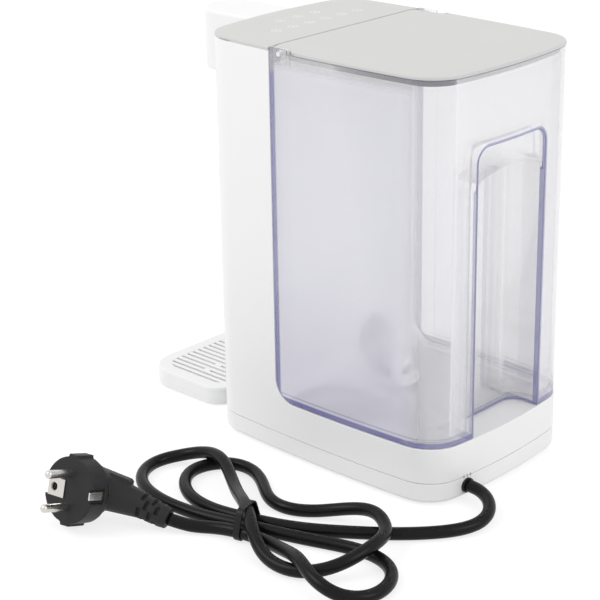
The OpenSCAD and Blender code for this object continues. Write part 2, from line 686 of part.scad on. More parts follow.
// Slots on each side of the middle one, and the bridges that cross every second one of them
slot_n = floor((tray_w / 2 - grille_rim - slot_w / 2) / slot_pitch);
bridge_l = 5;
bridge_y = (tray_y0 + tray_y1) / 2 + 0.7;
// How far the border's corner arc of radius r holds a slot back at a given x
function held_back(x, r) =
    let (arc = r - grille_rim, over = max(abs(x) - (tray_w / 2 - r), 0))
    grille_rim + arc - sqrt(max(arc * arc - over * over, 0));

// One slot from y0 to y1
module slot(x, y0, y1) translate([x - slot_w / 2, y0]) square([slot_w, y1 - y0]);
module slots() for (i = [-slot_n:slot_n], x = i * slot_pitch) {
    y0 = tray_y0 + held_back(x, tray_front_r);
    y1 = tray_y1 - held_back(x, tray_rear_r);
    if (i % 2 != 0 && abs(i) < slot_n) {
        slot(x, y0, bridge_y);
        slot(x, bridge_y + bridge_l, y1);
    } else slot(x, y0, y1);
}

module drip_grille() color("whitesmoke") at_body() difference() {
    union() {
        hull() {
            rise(tray_h + 0.05, tray_h + grille_t - 1) tray_plan();
            rise(tray_h + grille_t - eps, tray_h + grille_t) tray_plan(1);
        }
        rise(tray_h - 2.4, tray_h + 1) tray_plan(tray_wall + clear);
    }
    rise(tray_h - 3, tray_h + 0.9) tray_plan(tray_wall + clear + 1.6);
    rise(tray_h - 3, tray_h + grille_t + 1) slots();
}

// Front view of the finger pocket: an arch with rounded shoulders
module pocket_face(grow = 0) {
    half = grip_w / 2 + grow;
    top = grip_top - grip_band + grow;
    rise_h = 4;
    arch_r = (pow(half - grip_r, 2) + rise_h * rise_h) / (2 * rise_h);
    hull() {
        for (sx = [-1, 1]) {
            translate([sx * (half - grip_r), top - rise_h - grip_r + 0.4]) circle(grip_r, $fn = 40);
            translate([sx * half - (sx > 0 ? 1 : 0), 0]) square([1, 1]);
        }
        intersection() {
            translate([0, top - arch_r]) circle(arch_r, $fn = 240);
            translate([-half + grip_r, top - rise_h]) square([2 * (half - grip_r), rise_h + 1]);
        }
    }
}
// Plan of the pocket: rounded inner corners, open to the back
module pocket_plan(grow = 0) {
    half = grip_w / 2 + grow;
    deep = back_y - grip_depth - grow;
    hull() {
        for (sx = [-1, 1]) translate([sx * (half - grip_r - grow), deep + grip_r + grow]) circle(grip_r + grow, $fn = 40);
        translate([-half, back_y + 10]) square([2 * half, 1]);
    }
}
module pocket(grow = 0, z0 = 0) intersection() {
    rise(z0, grip_top) pocket_plan(grow);
    translate([0, back_y + 20, 0]) rotate([90, 0, 0]) linear_extrude(80) pocket_face(grow);
}
// Shallow band round the grip
module band() {
    intersection() {
        translate([0, back_y + 20, 0]) rotate([90, 0, 0]) linear_extrude(60) hull() {
            for (sx = [-1, 1]) {
                translate([sx * (grip_w / 2 - grip_r), grip_top - grip_r]) circle(grip_r, $fn = 40);
                translate([sx * grip_w / 2 - (sx > 0 ? 1 : 0), grip_top - grip_band * 2]) square([1, 1]);
            }
        }
        difference() {
            rise(tank_z - 1, rim_z) translate([-far / 2, 0]) square([far, far]);
            rise(tank_z - 2, rim_z + 1) plan(tank_gap + band_depth);
        }
    }
}

// Solid of the tank's outside or inside: front lower edge rounded to sit in the scoop
module tank_form(inset, z0, z1, r) {
    y0 = tank_front + inset;
    intersection() {
        rise(z0, z1) plan_back(tank_gap + inset, y0);
        union() {
            block([-far / 2, y0 + r, z0], [far / 2, far / 2, z1]);
            block([-far / 2, y0, z0 + r], [far / 2, y0 + r + 1, z1]);
            translate([0, y0 + r, z0 + r]) rod_x(r, -far / 2, far / 2);
        }
    }
}

module tank() color([0.75, 0.75, 0.9, 0.45]) at_body() difference() {
    union() {
        difference() {
            tank_form(0, tank_z, tank_rim_z, scoop_r);
            difference() {
                tank_form(tank_wall, tank_in_z, tank_rim_z + 1, scoop_r - tank_wall);
                pocket(tank_wall, tank_z - 1);
                // Wall behind the shallow band
                intersection() {
                    rise(tank_in_z, grip_top + 3) plan_back(0, back_y - 12);
                    block([-grip_w / 2 - 2, 0, 0], [grip_w / 2 + 2, far, far]);
                    difference() {
                        rise(0, far) plan_back(0, 0);
                        rise(-1, far + 1) plan(tank_gap + band_depth + tank_wall);
                    }
                }
            }
            // Front wall ends lower, to leave room for the lid's nose
            block([-ear_in, tank_front - 1, hinge_z - 6], [ear_in, tank_front + tank_wall + 0.1, rim_z + 1]);
        }
        // Ears for the hinge pins, in line with the side walls
        intersection() {
            rise(hinge_z - 8, body_h - 0.2) plan(tank_gap);
            difference() {
                block([-far / 2, tank_front, hinge_z - 8], [far / 2, tank_front + ear_l, body_h]);
                block([-ear_in, -far, 0], [ear_in, far, far]);
            }
        }
    }
    pocket(0, tank_z - 1);
    band();
    translate([0, hinge_y, hinge_z]) rod_x(pin_r + 0.05, -far / 2, far / 2);
    translate([port[0], port[1], 0]) rise(0, tank_in_z + 1) circle(neck_r + 0.1);
}

gasket_t = 1.2;
flange_t = 2;
flange_z = tank_in_z + gasket_t;
cage_top = flange_z + 14;
neck_z = seal_z + 0.4;
seat_z = neck_z + 3;
valve_lift = 3;
plunger_z = seat_z + valve_lift;

module valve_body() color("white") at_body() translate([port[0], port[1], 0]) difference() {
    union() {
        rise(neck_z, cage_top) circle(neck_r);
        rise(flange_z, flange_z + flange_t) circle(neck_r + 5);
    }
    rise(neck_z - 1, cage_top + 1) circle(2.1);
    rise(neck_z - 1, seat_z + 1) circle(5);
    rise(seat_z, cage_top - 2) circle(neck_r - 2.2);
    for (a = [0, 90]) rotate(a)
        block([-4, -20, flange_z + flange_t + 1], [4, 20, cage_top - 4]);
}

module valve_gasket() color("dimgray") at_body() translate([port[0], port[1], 0])
    ring(neck_r + 4.6, neck_r + 0.1, tank_in_z, flange_z);

module valve_nut() color("white") at_body() translate([port[0], port[1], 0])
    ring(nut_r, neck_r, tank_z - 4, tank_z);

module valve_plunger() color("white") at_body() translate([port[0], port[1], 0]) {
    rise(plunger_z + 1.4, plunger_z + 3) circle(6.6);
    rise(pin_top + 0.3, cage_top + 2) circle(2);
}

module plunger_seal() color("dimgray") at_body() translate([port[0], port[1], 0])
    ring(6.6, 2, plunger_z, plunger_z + 1.4);

spring_r = 4.6;
wire_r = 0.45;
spring_turns = 5;
spring_z0 = plunger_z + 3 + wire_r;
spring_z1 = cage_top - 2 - wire_r;
module valve_spring() color("silver") at_body() translate([port[0], port[1], 0])
    tube([for (i = [0:12 * spring_turns]) let (a = 30 * i)
        [spring_r * cos(a), spring_r * sin(a), spring_z0 + (spring_z1 - spring_z0) * i / (12 * spring_turns)]],
        wire_r, 0, 6);

pin_in = ear_in - 11;
// Plan of the lid's notch round an ear, with a rounded way out to the lid's edge
notch_in = ear_in - 0.3;
notch_y = tank_front + ear_l + 0.9;
notch_r = 7;
notch_x = body_w / 2 - notch_r - 0.1;
notch_run = sqrt(pow(notch_r, 2) - pow(notch_in - notch_x, 2));
module ear_notch() {
    translate([notch_in, tank_front - 5]) square([far, notch_y - tank_front + 5]);
    difference() {
        translate([notch_in, notch_y - eps]) square([far, notch_run]);
        translate([notch_x, notch_y + notch_run]) circle(notch_r);
    }
}
module lid()color("lightgray") at_body() difference() {
    union() {
        difference() {
            cap_form(false);
            // Nose in front of the hinge, round about its axis
            difference() {
                block([-far, hinge_y - 20, 0], [far, hinge_y, far]);
                translate([0, hinge_y, hinge_z]) rod_x(lid_nose_r, -far, far);
            }
            for (side = [0, 1]) mirror([side, 0, 0]) rise(0, far) ear_notch();
        }
        // Knuckles that hold the pins
        for (side = [0, 1]) mirror([side, 0, 0]) translate([0, hinge_y, hinge_z])
            rod_x(hinge_drop - 0.4, pin_in - 2, ear_in - 1);
    }
    for (side = [0, 1]) mirror([side, 0, 0]) translate([0, hinge_y, hinge_z]) rod_x(pin_r, pin_in, ear_in + 1);
}

skirt_y = hinge_y + 5;
skirt_in = tank_gap + tank_wall + 0.5;
tick_pitch = 18.9;
tick_y = hinge_y + 16.5;
module lid_skirt() color("gray") at_body() {
    difference() {
        rise(rim_z - skirt_h, rim_z) plan_back(skirt_in, skirt_y);
        rise(rim_z - skirt_h - 1, rim_z + 1) plan_back(skirt_in + 2, skirt_y + 2);
    }
    // Small ribs that centre the lid in the tank
    for (i = [0:3]) intersection() {
        block([-far / 2, tick_y + i * tick_pitch, rim_z - skirt_h], [far / 2, tick_y + i * tick_pitch + 1.2, rim_z]);
        difference() {
            rise(0, far) plan(skirt_in - 0.4);
            rise(-1, far + 1) plan(skirt_in + 1);
        }
    }
}

module hinge_pins() color("white") at_body() for (side = [0, 1]) mirror([side, 0, 0])
    translate([0, hinge_y, hinge_z]) rod_x(pin_r, pin_in, ear_in + tank_wall + 0.1);

housing();
bottom_cover();
feet();
cover_screws();
control_panel();
touch_board();
touch_springs();
spout_head();
spout_cover();
spout_nozzle();
heater();
heater_brackets();
thermal_cutout();
pump_motor();
pump_head();
pump_seat();
power_board();
board_screws();
inlet_hose();
pump_hose();
outlet_hose();
tank_coupling();
coupling_seal();
cord_gland();
spout_screws();
power_cord();
cord_tie();
plug_body();
plug_pins();
plug_earth();
drip_tray();
drip_grille();
tank();
valve_body();
valve_gasket();
valve_nut();
valve_plunger();
plunger_seal();
valve_spring();
lid();
lid_skirt();
hinge_pins();
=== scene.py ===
"""Hot-water dispenser with a lift-off tank, a touch panel, a drip tray and its mains lead."""

import json
import math

import bmesh
import bpy
from mathutils import Matrix, Vector

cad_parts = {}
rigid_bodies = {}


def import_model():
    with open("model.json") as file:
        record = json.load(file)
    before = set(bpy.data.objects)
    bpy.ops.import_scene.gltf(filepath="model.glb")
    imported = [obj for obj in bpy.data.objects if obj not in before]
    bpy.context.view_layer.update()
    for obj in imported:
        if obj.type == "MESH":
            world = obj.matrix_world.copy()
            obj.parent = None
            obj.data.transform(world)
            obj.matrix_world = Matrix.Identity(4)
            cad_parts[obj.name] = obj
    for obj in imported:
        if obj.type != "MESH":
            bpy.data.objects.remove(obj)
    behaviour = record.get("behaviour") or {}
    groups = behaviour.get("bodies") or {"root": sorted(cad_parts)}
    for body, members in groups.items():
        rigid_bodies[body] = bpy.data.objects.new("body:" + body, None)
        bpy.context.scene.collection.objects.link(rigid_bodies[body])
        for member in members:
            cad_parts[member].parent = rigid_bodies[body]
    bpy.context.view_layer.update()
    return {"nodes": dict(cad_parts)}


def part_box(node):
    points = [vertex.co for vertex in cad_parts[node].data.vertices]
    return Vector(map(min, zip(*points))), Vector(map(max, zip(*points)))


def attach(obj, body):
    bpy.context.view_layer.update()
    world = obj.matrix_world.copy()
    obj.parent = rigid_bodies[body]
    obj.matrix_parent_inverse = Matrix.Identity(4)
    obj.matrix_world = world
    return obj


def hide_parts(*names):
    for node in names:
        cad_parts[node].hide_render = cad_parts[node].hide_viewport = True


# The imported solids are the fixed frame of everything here. Their plan is centred on the body and
# the tray together, so the middle of the body lies behind the origin.
for leftover in list(bpy.data.objects):
    bpy.data.objects.remove(leftover)
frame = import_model()
nodes = frame["nodes"]
for node in nodes.values():
    node["slot_name"] = node.data.materials[0].name.split(".")[0]
MM = 0.001
housing_low, housing_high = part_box("housing")
body_w = (housing_high.x - housing_low.x) / MM
body_d = (housing_high.y - housing_low.y) / MM
body_shift = (housing_low.y + housing_high.y) / 2 / MM


def place(x, y, z):
    """Point of the frame in metres, from millimetres measured from the middle of the body."""
    return Vector((x, y + body_shift, z)) * MM


# The camera looks down on the rear left corner, from about a metre away.
def linked(name, data):
    """An object on the given data, linked into the scene."""
    made = bpy.data.objects.new(name, data)
    bpy.context.scene.collection.objects.link(made)
    return made


eye_azimuth = math.radians(133.74)
eye_height = math.radians(21.3)
eye_roll = math.radians(-0.98)
eye_distance = 1.04735
eye_target = place(76.1, 0, 110.49)
eye_back = Vector((
    math.sin(eye_azimuth) * math.cos(eye_height),
    -math.cos(eye_azimuth) * math.cos(eye_height),
    math.sin(eye_height),
))
eye_right = Vector((math.cos(eye_azimuth), math.sin(eye_azimuth), 0))
eye_up = eye_back.cross(eye_right)
rolled_right = eye_right * math.cos(eye_roll) + eye_up * math.sin(eye_roll)
rolled_up = eye_up * math.cos(eye_roll) - eye_right * math.sin(eye_roll)
camera = linked("camera", bpy.data.cameras.new("camera"))
camera.matrix_world = Matrix.Translation(eye_target + eye_back * eye_distance) @ Matrix(
    (rolled_right, rolled_up, eye_back)
).transposed().to_4x4()
camera.data.lens = 110.32
camera.data.sensor_width = 36
camera.data.clip_start = 0.05
bpy.context.scene.camera = camera


# Mains lead: three cores in a round black PVC sheath, leaving the rear of the base and lying on
# the table as the hank it was packed in, folded four times. Its sheath is one swept tube.
class Port:
    """A shader socket that takes part in Python arithmetic."""

    def __init__(self, finish, socket):
        self.finish, self.socket = finish, socket

    def __add__(self, other):
        return maths("ADD", self, other)

    def __sub__(self, other):
        return maths("SUBTRACT", self, other)

    def __rsub__(self, other):
        return maths("SUBTRACT", other, self)

    def __mul__(self, other):
        return maths("MULTIPLY", self, other)

    def __gt__(self, other):
        return maths("GREATER_THAN", self, other)

    def __lt__(self, other):
        return maths("LESS_THAN", self, other)

    __radd__, __rmul__ = __add__, __mul__


def maths(operation, *values):
    """One Math node on sockets and plain numbers."""
    finish = next(value.finish for value in values if isinstance(value, Port))
    return finish.node("ShaderNodeMath", {"operation": operation}, dict(enumerate(values)))


class Finish:
    """A procedural material: its Principled shader, and one method that adds any other node."""

    def __init__(self, name, colour, roughness, **settings):
        self.material = bpy.data.materials.new(name)
        self.material.use_nodes = True
        self.tree = self.material.node_tree
        self.shader = self.tree.nodes["Principled BSDF"]
        self.set(Base_Color=(*colour, 1), Roughness=roughness, **settings)
        coordinates = self.tree.nodes.new("ShaderNodeTexCoord")
        self.place = Port(self, coordinates.outputs["Object"])
        self.uv = Port(self, coordinates.outputs["UV"])

    def feed(self, socket, value):
        if isinstance(value, Port):
            self.tree.links.new(value.socket, socket)
        else:
            socket.default_value = value

    def set(self, **sockets):
        for name, value in sockets.items():
            self.feed(self.shader.inputs[name.replace("_", " ")], value)

    def node(self, kind, settings, sockets, out=0):
        """Any node: its settings first, then the values or links of its sockets."""
        made = self.tree.nodes.new(kind)
        for name, value in settings.items():
            setattr(made, name, value)
        for key, value in sockets.items():
            self.feed(made.inputs[key], value)
        return Port(self, made.outputs[out])

    def noise(self, scale, detail, where=None):
        return self.node(
            "ShaderNodeTexNoise", {}, {"Vector": where or self.place, "Scale": scale, "Detail": detail}
        )

    def blend(self, share, first, second):
        """Colour between two colours, by a share."""
        return self.node(
            "ShaderNodeMix", {"data_type": "RGBA"}, {0: share, 6: first, 7: second}, out=2
        )

    def range(self, value, low, high):
        """The value stretched from low to high."""
        return value * (high - low) + low

    def bump(self, height, distance, strength=1.0):
        sockets = {"Height": height, "Distance": distance, "Strength": strength}
        return self.node("ShaderNodeBump", {}, sockets)


def moulded(name, colour, roughness, grain, depth, **settings):
    """Moulded plastic: fine spark grain, faint drift of the colour and patches of rubbed gloss."""
    finish = Finish(name, colour, roughness, **settings)
    drift = 0.02
    cloudy = finish.noise(9, 3)
    rubbed = finish.noise(38, 4)
    paler = tuple(min(1, c * (1 + drift)) for c in colour) + (1,)
    darker = tuple(c * (1 - drift) for c in colour) + (1,)
    finish.set(
        Base_Color=finish.blend(cloudy, darker, paler),
        Roughness=finish.range(rubbed, roughness - 0.06, roughness + 0.06),
        Normal=finish.bump(finish.noise(grain, 2), depth),
    )
    return finish.material


def metal(name, colour, roughness, lines, axis):
    """Bare or plated metal with fine working marks that run along one axis."""
    finish = Finish(name, colour, roughness, Metallic=1.0)
    stretch = [lines, lines, lines]
    stretch["XYZ".index(axis)] = lines / 40
    drawn = finish.node(
        "ShaderNodeMapping", {}, {"Vector": finish.place, "Scale": tuple(stretch)}
    )
    marks = finish.noise(1.0, 3, drawn)
    smudge = finish.noise(120, 3)
    finish.set(
        Roughness=finish.range(marks, roughness - 0.05, roughness + 0.09) + smudge * 0.06,
        Normal=finish.bump(marks, 0.000004),
    )
    return finish.material


def dress(piece, material):
    """Gives a piece one material."""
    if piece.data.materials:
        piece.data.materials.clear()
    piece.data.materials.append(material)
    return piece


def object_from(name, bm):
    """A bmesh as an object of its own."""
    mesh = bpy.data.meshes.new(name)
    bm.to_mesh(mesh)
    bm.free()
    return linked(name, mesh)


def add_piece(name, bm, material, body, slot, *stands_for):
    """Closes a bmesh into a named piece with its material and its CAD body. Its slot is not used."""
    piece = dress(object_from(name, bm), material)
    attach(piece, body)
    if stands_for:
        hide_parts(*stands_for)
    return piece


cord_d = 7.4
cord_floor = cord_d / 2
cord_over = cord_d * 1.8
tie_lift = 4.9
end_crown = 5.5


def end_fall(x):
    """How far the crowned end walls of the body fall back, beside its middle."""
    return end_crown * (x / (body_w / 2)) ** 2


exit_x, exit_z = 35, 7.9
exit_y = body_d / 2 - end_fall(exit_x)
cord_route = [
    (exit_x, exit_y + 1.2, exit_z), (exit_x, exit_y + 8, exit_z), (38.5, 109, 7), (48, 118, 5.4),
    (61, 121, 4), (75, 116, cord_floor),
    (88, 106, cord_floor), (100, 94, cord_floor), (111, 80, cord_floor), (121, 66, cord_floor),
    (130, 52, cord_floor), (139, 37, tie_lift), (145, 17, tie_lift), (148, -3, cord_floor),
    (146, -24, cord_floor), (135, -41, cord_floor), (120, -49, cord_floor), (104, -44, cord_floor),
    (96, -31, cord_floor), (98, -16, cord_floor), (107, -2, cord_floor), (118, 12, cord_floor),
    (120, 28, cord_floor), (111, 43, cord_floor), (101, 59, 8), (99, 79, cord_over), (110, 97, 10),
    (130, 104, cord_over), (153, 100, 8), (168, 85, cord_floor), (171, 62, 4), (163, 45, 11),
    (152, 31, 14.5), (142, 17, 13.8), (132, 2, 9), (120, -15, 8), (110, -32, cord_over),
    (106, -50, 10), (112, -65, 5), (126, -73, cord_floor), (142, -69, cord_floor),
    (154, -56, cord_floor), (160, -34, cord_floor), (158, -6, cord_floor), (153, 17, tie_lift),
    (147, 36, tie_lift), (139, 57, cord_floor), (131, 77, cord_floor), (125, 98, cord_floor),
    (130, 117, cord_floor), (145, 128, cord_floor), (163, 128, cord_floor), (175, 117, 6),
    (176, 100, 11), (167, 83, cord_over), (159, 65, 7), (155, 45, tie_lift), (158, 25, tie_lift),
    (163, 11, cord_floor), (170, 3, 4), (176, -8, 7),
]


def smooth_path(guides, steps):
    """Points of a smooth line that starts and ends at its first and last guide points."""
    ends = [guides[0] * 2 - guides[1], *guides, guides[-1] * 2 - guides[-2]]
    line = []
    for i in range(steps + 1):
        u = i * (len(guides) - 1) / steps
        k = min(int(u), len(ends) - 4)
        t = u - k
        a, b, c, d = ends[k:k + 4]
        line.append((
            a * (1 - t) ** 3 + b * (3 * t**3 - 6 * t**2 + 4)
            + c * (-3 * t**3 + 3 * t**2 + 3 * t + 1) + d * t**3
        ) / 6)
    return line


def swept_tube(line, radius, sides):
    """Closed round tube along a line, with a map that runs in metres along and once round it."""
    bm = bmesh.new()
    route_map = bm.loops.layers.uv.new("route")
    side = None
    rings, travelled = [], [0]
    for i, point in enumerate(line):
        ahead = (line[min(i + 1, len(line) - 1)] - line[max(i - 1, 0)]).normalized()
        if side is None:
            side = ahead.cross(Vector((0, 0, 1)))
        side = (side - ahead * side.dot(ahead)).normalized()
        across = ahead.cross(side)
        rings.append([
            bm.verts.new(point + (side * math.cos(a) + across * math.sin(a)) * radius)
            for a in (math.tau * k / sides for k in range(sides))
        ])
        if i:
            travelled.append(travelled[-1] + (point - line[i - 1]).length)
    for i in range(len(rings) - 1):
        for k in range(sides):
            j = (k + 1) % sides
            face = bm.faces.new((rings[i][k], rings[i][j], rings[i + 1][j], rings[i + 1][k]))
            face.smooth = True
            corners = ((i, k), (i, k + 1), (i + 1, k + 1), (i + 1, k))
            for loop, (along, around) in zip(face.loops, corners):
                loop[route_map].uv = (travelled[along], around / sides)
    bm.faces.new(reversed(rings[0]))
    bm.faces.new(rings[-1])
    bmesh.ops.recalc_face_normals(bm, faces=bm.faces)
    return bm


sheath = Finish("cord_sheath", (0.006, 0.006, 0.0065), 0.3, Specular_IOR_Level=0.15)
sheath_pull = sheath.node("ShaderNodeMapping", {}, {"Vector": sheath.uv, "Scale": (60, 5, 1)})
sheath_drag = sheath.noise(1.0, 3, sheath_pull)
sheath_dust = sheath.noise(420, 3)
sheath.set(
    Base_Color=sheath.blend(sheath_drag, (0.004, 0.004, 0.0045, 1), (0.009, 0.009, 0.0095, 1)),
    Roughness=sheath.range(sheath_drag, 0.2, 0.32) + sheath_dust * 0.05,
    Normal=sheath.bump(sheath_drag + sheath_dust * 0.4, 0.00006, 0.6),
)
cord_line = smooth_path([place(x, y, z) for x, y, z in cord_route], 420)
cord_bm = swept_tube(cord_line, cord_d / 2 * MM, 20)
cord = add_piece("mains_lead", cord_bm, sheath.material, "base", "cord_black", "power_cord")

# Tie: the thin soft PVC band that holds the folds of the lead where they cross. It is an
# extruded strip, closed on itself, and stays on the lead.
def merged_copy(name):
    """A node's mesh as one closed skin with its flat faces whole; the node itself is untouched."""
    bm = bmesh.new()
    bm.from_mesh(nodes[name].data)
    bmesh.ops.remove_doubles(bm, verts=bm.verts, dist=1e-6)
    bmesh.ops.dissolve_limit(
        bm, angle_limit=math.radians(0.1), verts=bm.verts, edges=bm.edges, use_dissolve_boundaries=False
    )
    return bm


def round_edges(bm, width, chosen=None, steps=3):
    """Rounds the sharp edges whose middle is chosen, and returns the new faces."""
    sharp = math.radians(35)
    picked = []
    for edge in bm.edges:
        if len(edge.link_faces) == 2 and edge.calc_face_angle(0) > sharp:
            middle = (edge.verts[0].co + edge.verts[1].co) / 2 / MM
            if chosen is None or chosen(middle.x, middle.y - body_shift, middle.z):
                picked.append(edge)
    return bmesh.ops.bevel(
        bm, geom=picked, offset=width * MM, offset_type="OFFSET", segments=steps, profile=0.5,
        affect="EDGES", clamp_overlap=False, loop_slide=True, miter_outer="ARC",
    )["faces"]


def shade(piece, crease=32):
    """Smooth shading with creases kept, weighted by face size."""
    piece.data.polygons.foreach_set("use_smooth", [True] * len(piece.data.polygons))
    piece.data.set_sharp_from_angle(angle=math.radians(crease))
    weighted = piece.modifiers.new("even_shading", "WEIGHTED_NORMAL")
    weighted.keep_sharp = True
    return piece


pvc_black = moulded(
    "soft_pvc_black", (0.008, 0.008, 0.0085), 0.4, grain=1900, depth=0.00003, Specular_IOR_Level=0.25
)
tie_bm = merged_copy("cord_tie")
round_edges(tie_bm, 0.25)
tie = shade(add_piece("lead_tie", tie_bm, pvc_black, "base", "cord_black", "cord_tie"))

# Plug: an angled two-pole plug with side earth, moulded from black PVC round its contacts. Its
# face lies across the pins, and a slotted relief carries the lead away to the rear.
plug_turn, plug_tilt, plug_roll = math.radians(3.4), math.radians(19.4), math.radians(3.9)
relief_start, relief_end = Vector((-29, 27, -3)), Vector((-36, 45, -8))
plug_frame = (
    Matrix.Translation(place(*cord_route[-1]))
    @ Matrix.Rotation(plug_turn, 4, "Z")
    @ Matrix.Rotation(-plug_tilt, 4, "Y")
    @ Matrix.Rotation(plug_roll, 4, "X")
    @ Matrix.Scale(MM, 4)
    @ Matrix.Translation(-relief_end)
)
plug_back = plug_frame.inverted()


def turned(bm, profile, where, sides=40):
    """Adds a solid turned about the local X axis, from (along, radius) pairs that end at 0."""
    rows = []
    for along, radius in profile:
        count = sides if radius else 1
        rows.append([
            bm.verts.new(where @ Vector((along, radius * math.cos(a), radius * math.sin(a))))
            for a in (math.tau * k / count for k in range(count))
        ])
    for low, high in zip(rows, rows[1:]):
        for k in range(sides):
            j = (k + 1) % sides
            ring = [low[k % len(low)], low[j % len(low)], high[j % len(high)], high[k % len(high)]]
            bm.faces.new(list(dict.fromkeys(ring)))
    bmesh.ops.recalc_face_normals(bm, faces=bm.faces)


def pointing(where, direction):
    """Frame at a point whose X axis runs in a direction."""
    return Matrix.Translation(where) @ direction.to_track_quat("X", "Z").to_matrix().to_4x4()


def block(bm, size, where):
    """Adds a closed box, in mm, at a place of the plug's own frame."""
    bmesh.ops.create_cube(bm, matrix=plug_frame @ where @ Matrix.Diagonal((*size, 1)))


def combine(form, name, operation, tool):
    """Cuts a tool out of a form, or adds it."""
    step = form.modifiers.new(name, "BOOLEAN")
    step.operation, step.solver, step.object, step.use_self = operation, "EXACT", tool, True


relief_frame = pointing(relief_start, (relief_end - relief_start).normalized())
relief_length = (relief_end - relief_start).length
relief_tip = relief_length - 0.2
plug_bm = merged_copy("plug_body")
turned(plug_bm, [
    (-3, 0), (-3, 7.7), (0, 7.55), (relief_tip - 3.8, 6.5), (relief_tip - 3, 6.5),
    (relief_tip - 2.6, 6.2), (relief_tip - 0.3, 6.0), (relief_tip, 5.6), (relief_tip, 0),
], plug_frame @ relief_frame)
plug_form = object_from("plug_form", plug_bm)

# The thumb bar stands clear of the neck, over a notch
notch_size, notch_middle = (14, 26, 10), (-27.4, 1.5, 15.6)
notch_bm = bmesh.new()
block(notch_bm, notch_size, Matrix.Translation(notch_middle))
notch = object_from("plug_notch", notch_bm)
combine(plug_form, "notched", "DIFFERENCE", notch)
bar_w, bar_t = 7, 2.4
bar_low, bar_high = Vector((-27, 20.5, 8.4)), Vector((-18.5, -1, 12.6))
bar_run = bar_low - bar_high
bar_bm = bmesh.new()
block(bar_bm, (bar_run.length, bar_w, bar_t), pointing((bar_low + bar_high) / 2, bar_run))
block(bar_bm, (3, bar_w, 5), pointing(bar_low + Vector((0.3, -0.6, -2)), bar_run))
bar = object_from("plug_bar", bar_bm)
combine(plug_form, "barred", "UNION", bar)

# One skin over all of it, eased as a soft moulding is
skin = plug_form.modifiers.new("one_skin", "REMESH")
skin.mode, skin.voxel_size, skin.use_smooth_shade = "VOXEL", 0.5 * MM, True
ease = plug_form.modifiers.new("ease", "SMOOTH")
ease.factor, ease.iterations = 0.5, 4
graph = bpy.context.evaluated_depsgraph_get()
plug_seen = bpy.data.meshes.new_from_object(plug_form.evaluated_get(graph))
for helper in (plug_form, notch, bar):
    bpy.data.objects.remove(helper)

# Four rows of short slots are sunk round the relief
slot_rows = ((3.0, 22), (6.4, 67), (9.8, 22), (13.2, 67))
slot_half_width, slot_half_angle, slot_depth = 0.95, 26, 1.9
relief_back = relief_frame.inverted() @ plug_back
for vertex in plug_seen.vertices:
    spot = relief_back @ vertex.co
    out = math.hypot(spot.y, spot.z)
    if out < 5 or not 1 < spot.x < relief_length - 3:
        continue
    turn = math.degrees(math.atan2(spot.z, spot.y)) % 90
    for start, middle in slot_rows:
        deep = min(1, max(0, (slot_half_width - abs(spot.x - start)) / 0.35 + 0.5))
        wide = min(1, max(0, (slot_half_angle - abs(turn - middle)) / 5 + 0.5))
        if deep * wide > 0:
            drawn_in = 1 - slot_depth * deep * wide / out
            spot.y, spot.z = spot.y * drawn_in, spot.z * drawn_in
            vertex.co = plug_frame @ relief_frame @ spot
plug = linked("plug_shell", plug_seen)
plug_pvc = Finish("plug_pvc", (0.012, 0.012, 0.013), 0.5, Specular_IOR_Level=0.3)
plug_grain = plug_pvc.noise(1500, 3)
plug_worn = plug_pvc.noise(70, 4)
plug_pvc.set(
    Base_Color=plug_pvc.blend(plug_worn, (0.008, 0.008, 0.009, 1), (0.018, 0.018, 0.019, 1)),
    Roughness=plug_pvc.range(plug_worn, 0.42, 0.6),
    Normal=plug_pvc.bump(plug_grain, 0.00005, 0.7),
)
dress(plug, plug_pvc.material)
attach(plug, "base")
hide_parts("plug_body")

# Plug contacts: two turned, nickel-plated brass pins with domed tips, and the sprung earth strip
# that shows as a square plate with its round socket on the face and as a clip on the side.
nickel = metal("nickel_plate", (0.66, 0.64, 0.61), 0.2, 1500, "X")
pin_r, pin_length, pin_pitch = 2.4, 19, 19
pin_tip = [(1.9, 0), (1.5, 0.1), (1.0, 0.4), (0.5, 0.9), (0.1, 1.6), (0, pin_r)]
pins_bm = bmesh.new()
for side in (-1, 1):
    turned(
        pins_bm,
        [(-4, 0), (-4, pin_r)] + [(pin_length - back, pin_r - inset) for back, inset in pin_tip],
        plug_frame @ Matrix.Translation((0, 0, side * pin_pitch / 2)),
        32,
    )
pins = shade(add_piece("plug_contacts", pins_bm, nickel, "base", "nickel", "plug_pins"), 50)
earth_bm = merged_copy("plug_earth")
plate_spread, plate_rise = 1.12, 3.2
for vertex in earth_bm.verts:
    spot = plug_back @ vertex.co
    if spot.x <= -0.1 or spot.y >= -5:
        continue
    # The face plate reaches wider, and nearer to the pins, than the solid's
    if abs(spot.z) > 4:
        spot.z *= plate_spread
    if spot.y > -6.5:
        spot.y += plate_rise
    vertex.co = plug_frame @ spot
round_edges(earth_bm, 0.15, steps=2)
socket_r, socket_bore, socket_y = 2.58, 2.1, -10.5
turned(earth_bm, [
    (-9.5, 0), (-9.5, socket_r), (0.3, socket_r), (0.5, socket_r - 0.15), (0.5, socket_bore + 0.15),
    (0.3, socket_bore), (-8.5, socket_bore), (-8.5, 0),
], plug_frame @ Matrix.Translation((0, socket_y, 0)), 28)
earth = shade(add_piece("plug_earth_strip", earth_bm, nickel, "base", "nickel", "plug_earth"))

# Bottom cover: a shallow white ABS tray screwed up into the housing from below. Its wall is
# drawn in at the table, and the lead leaves through it beneath three short slits.
corner_r, side_crown = 19, 3.7
wall, deck_h, column_d = 2.5, 35.4, 61
front_y, back_y = -body_d / 2, body_d / 2
column_back = front_y + column_d


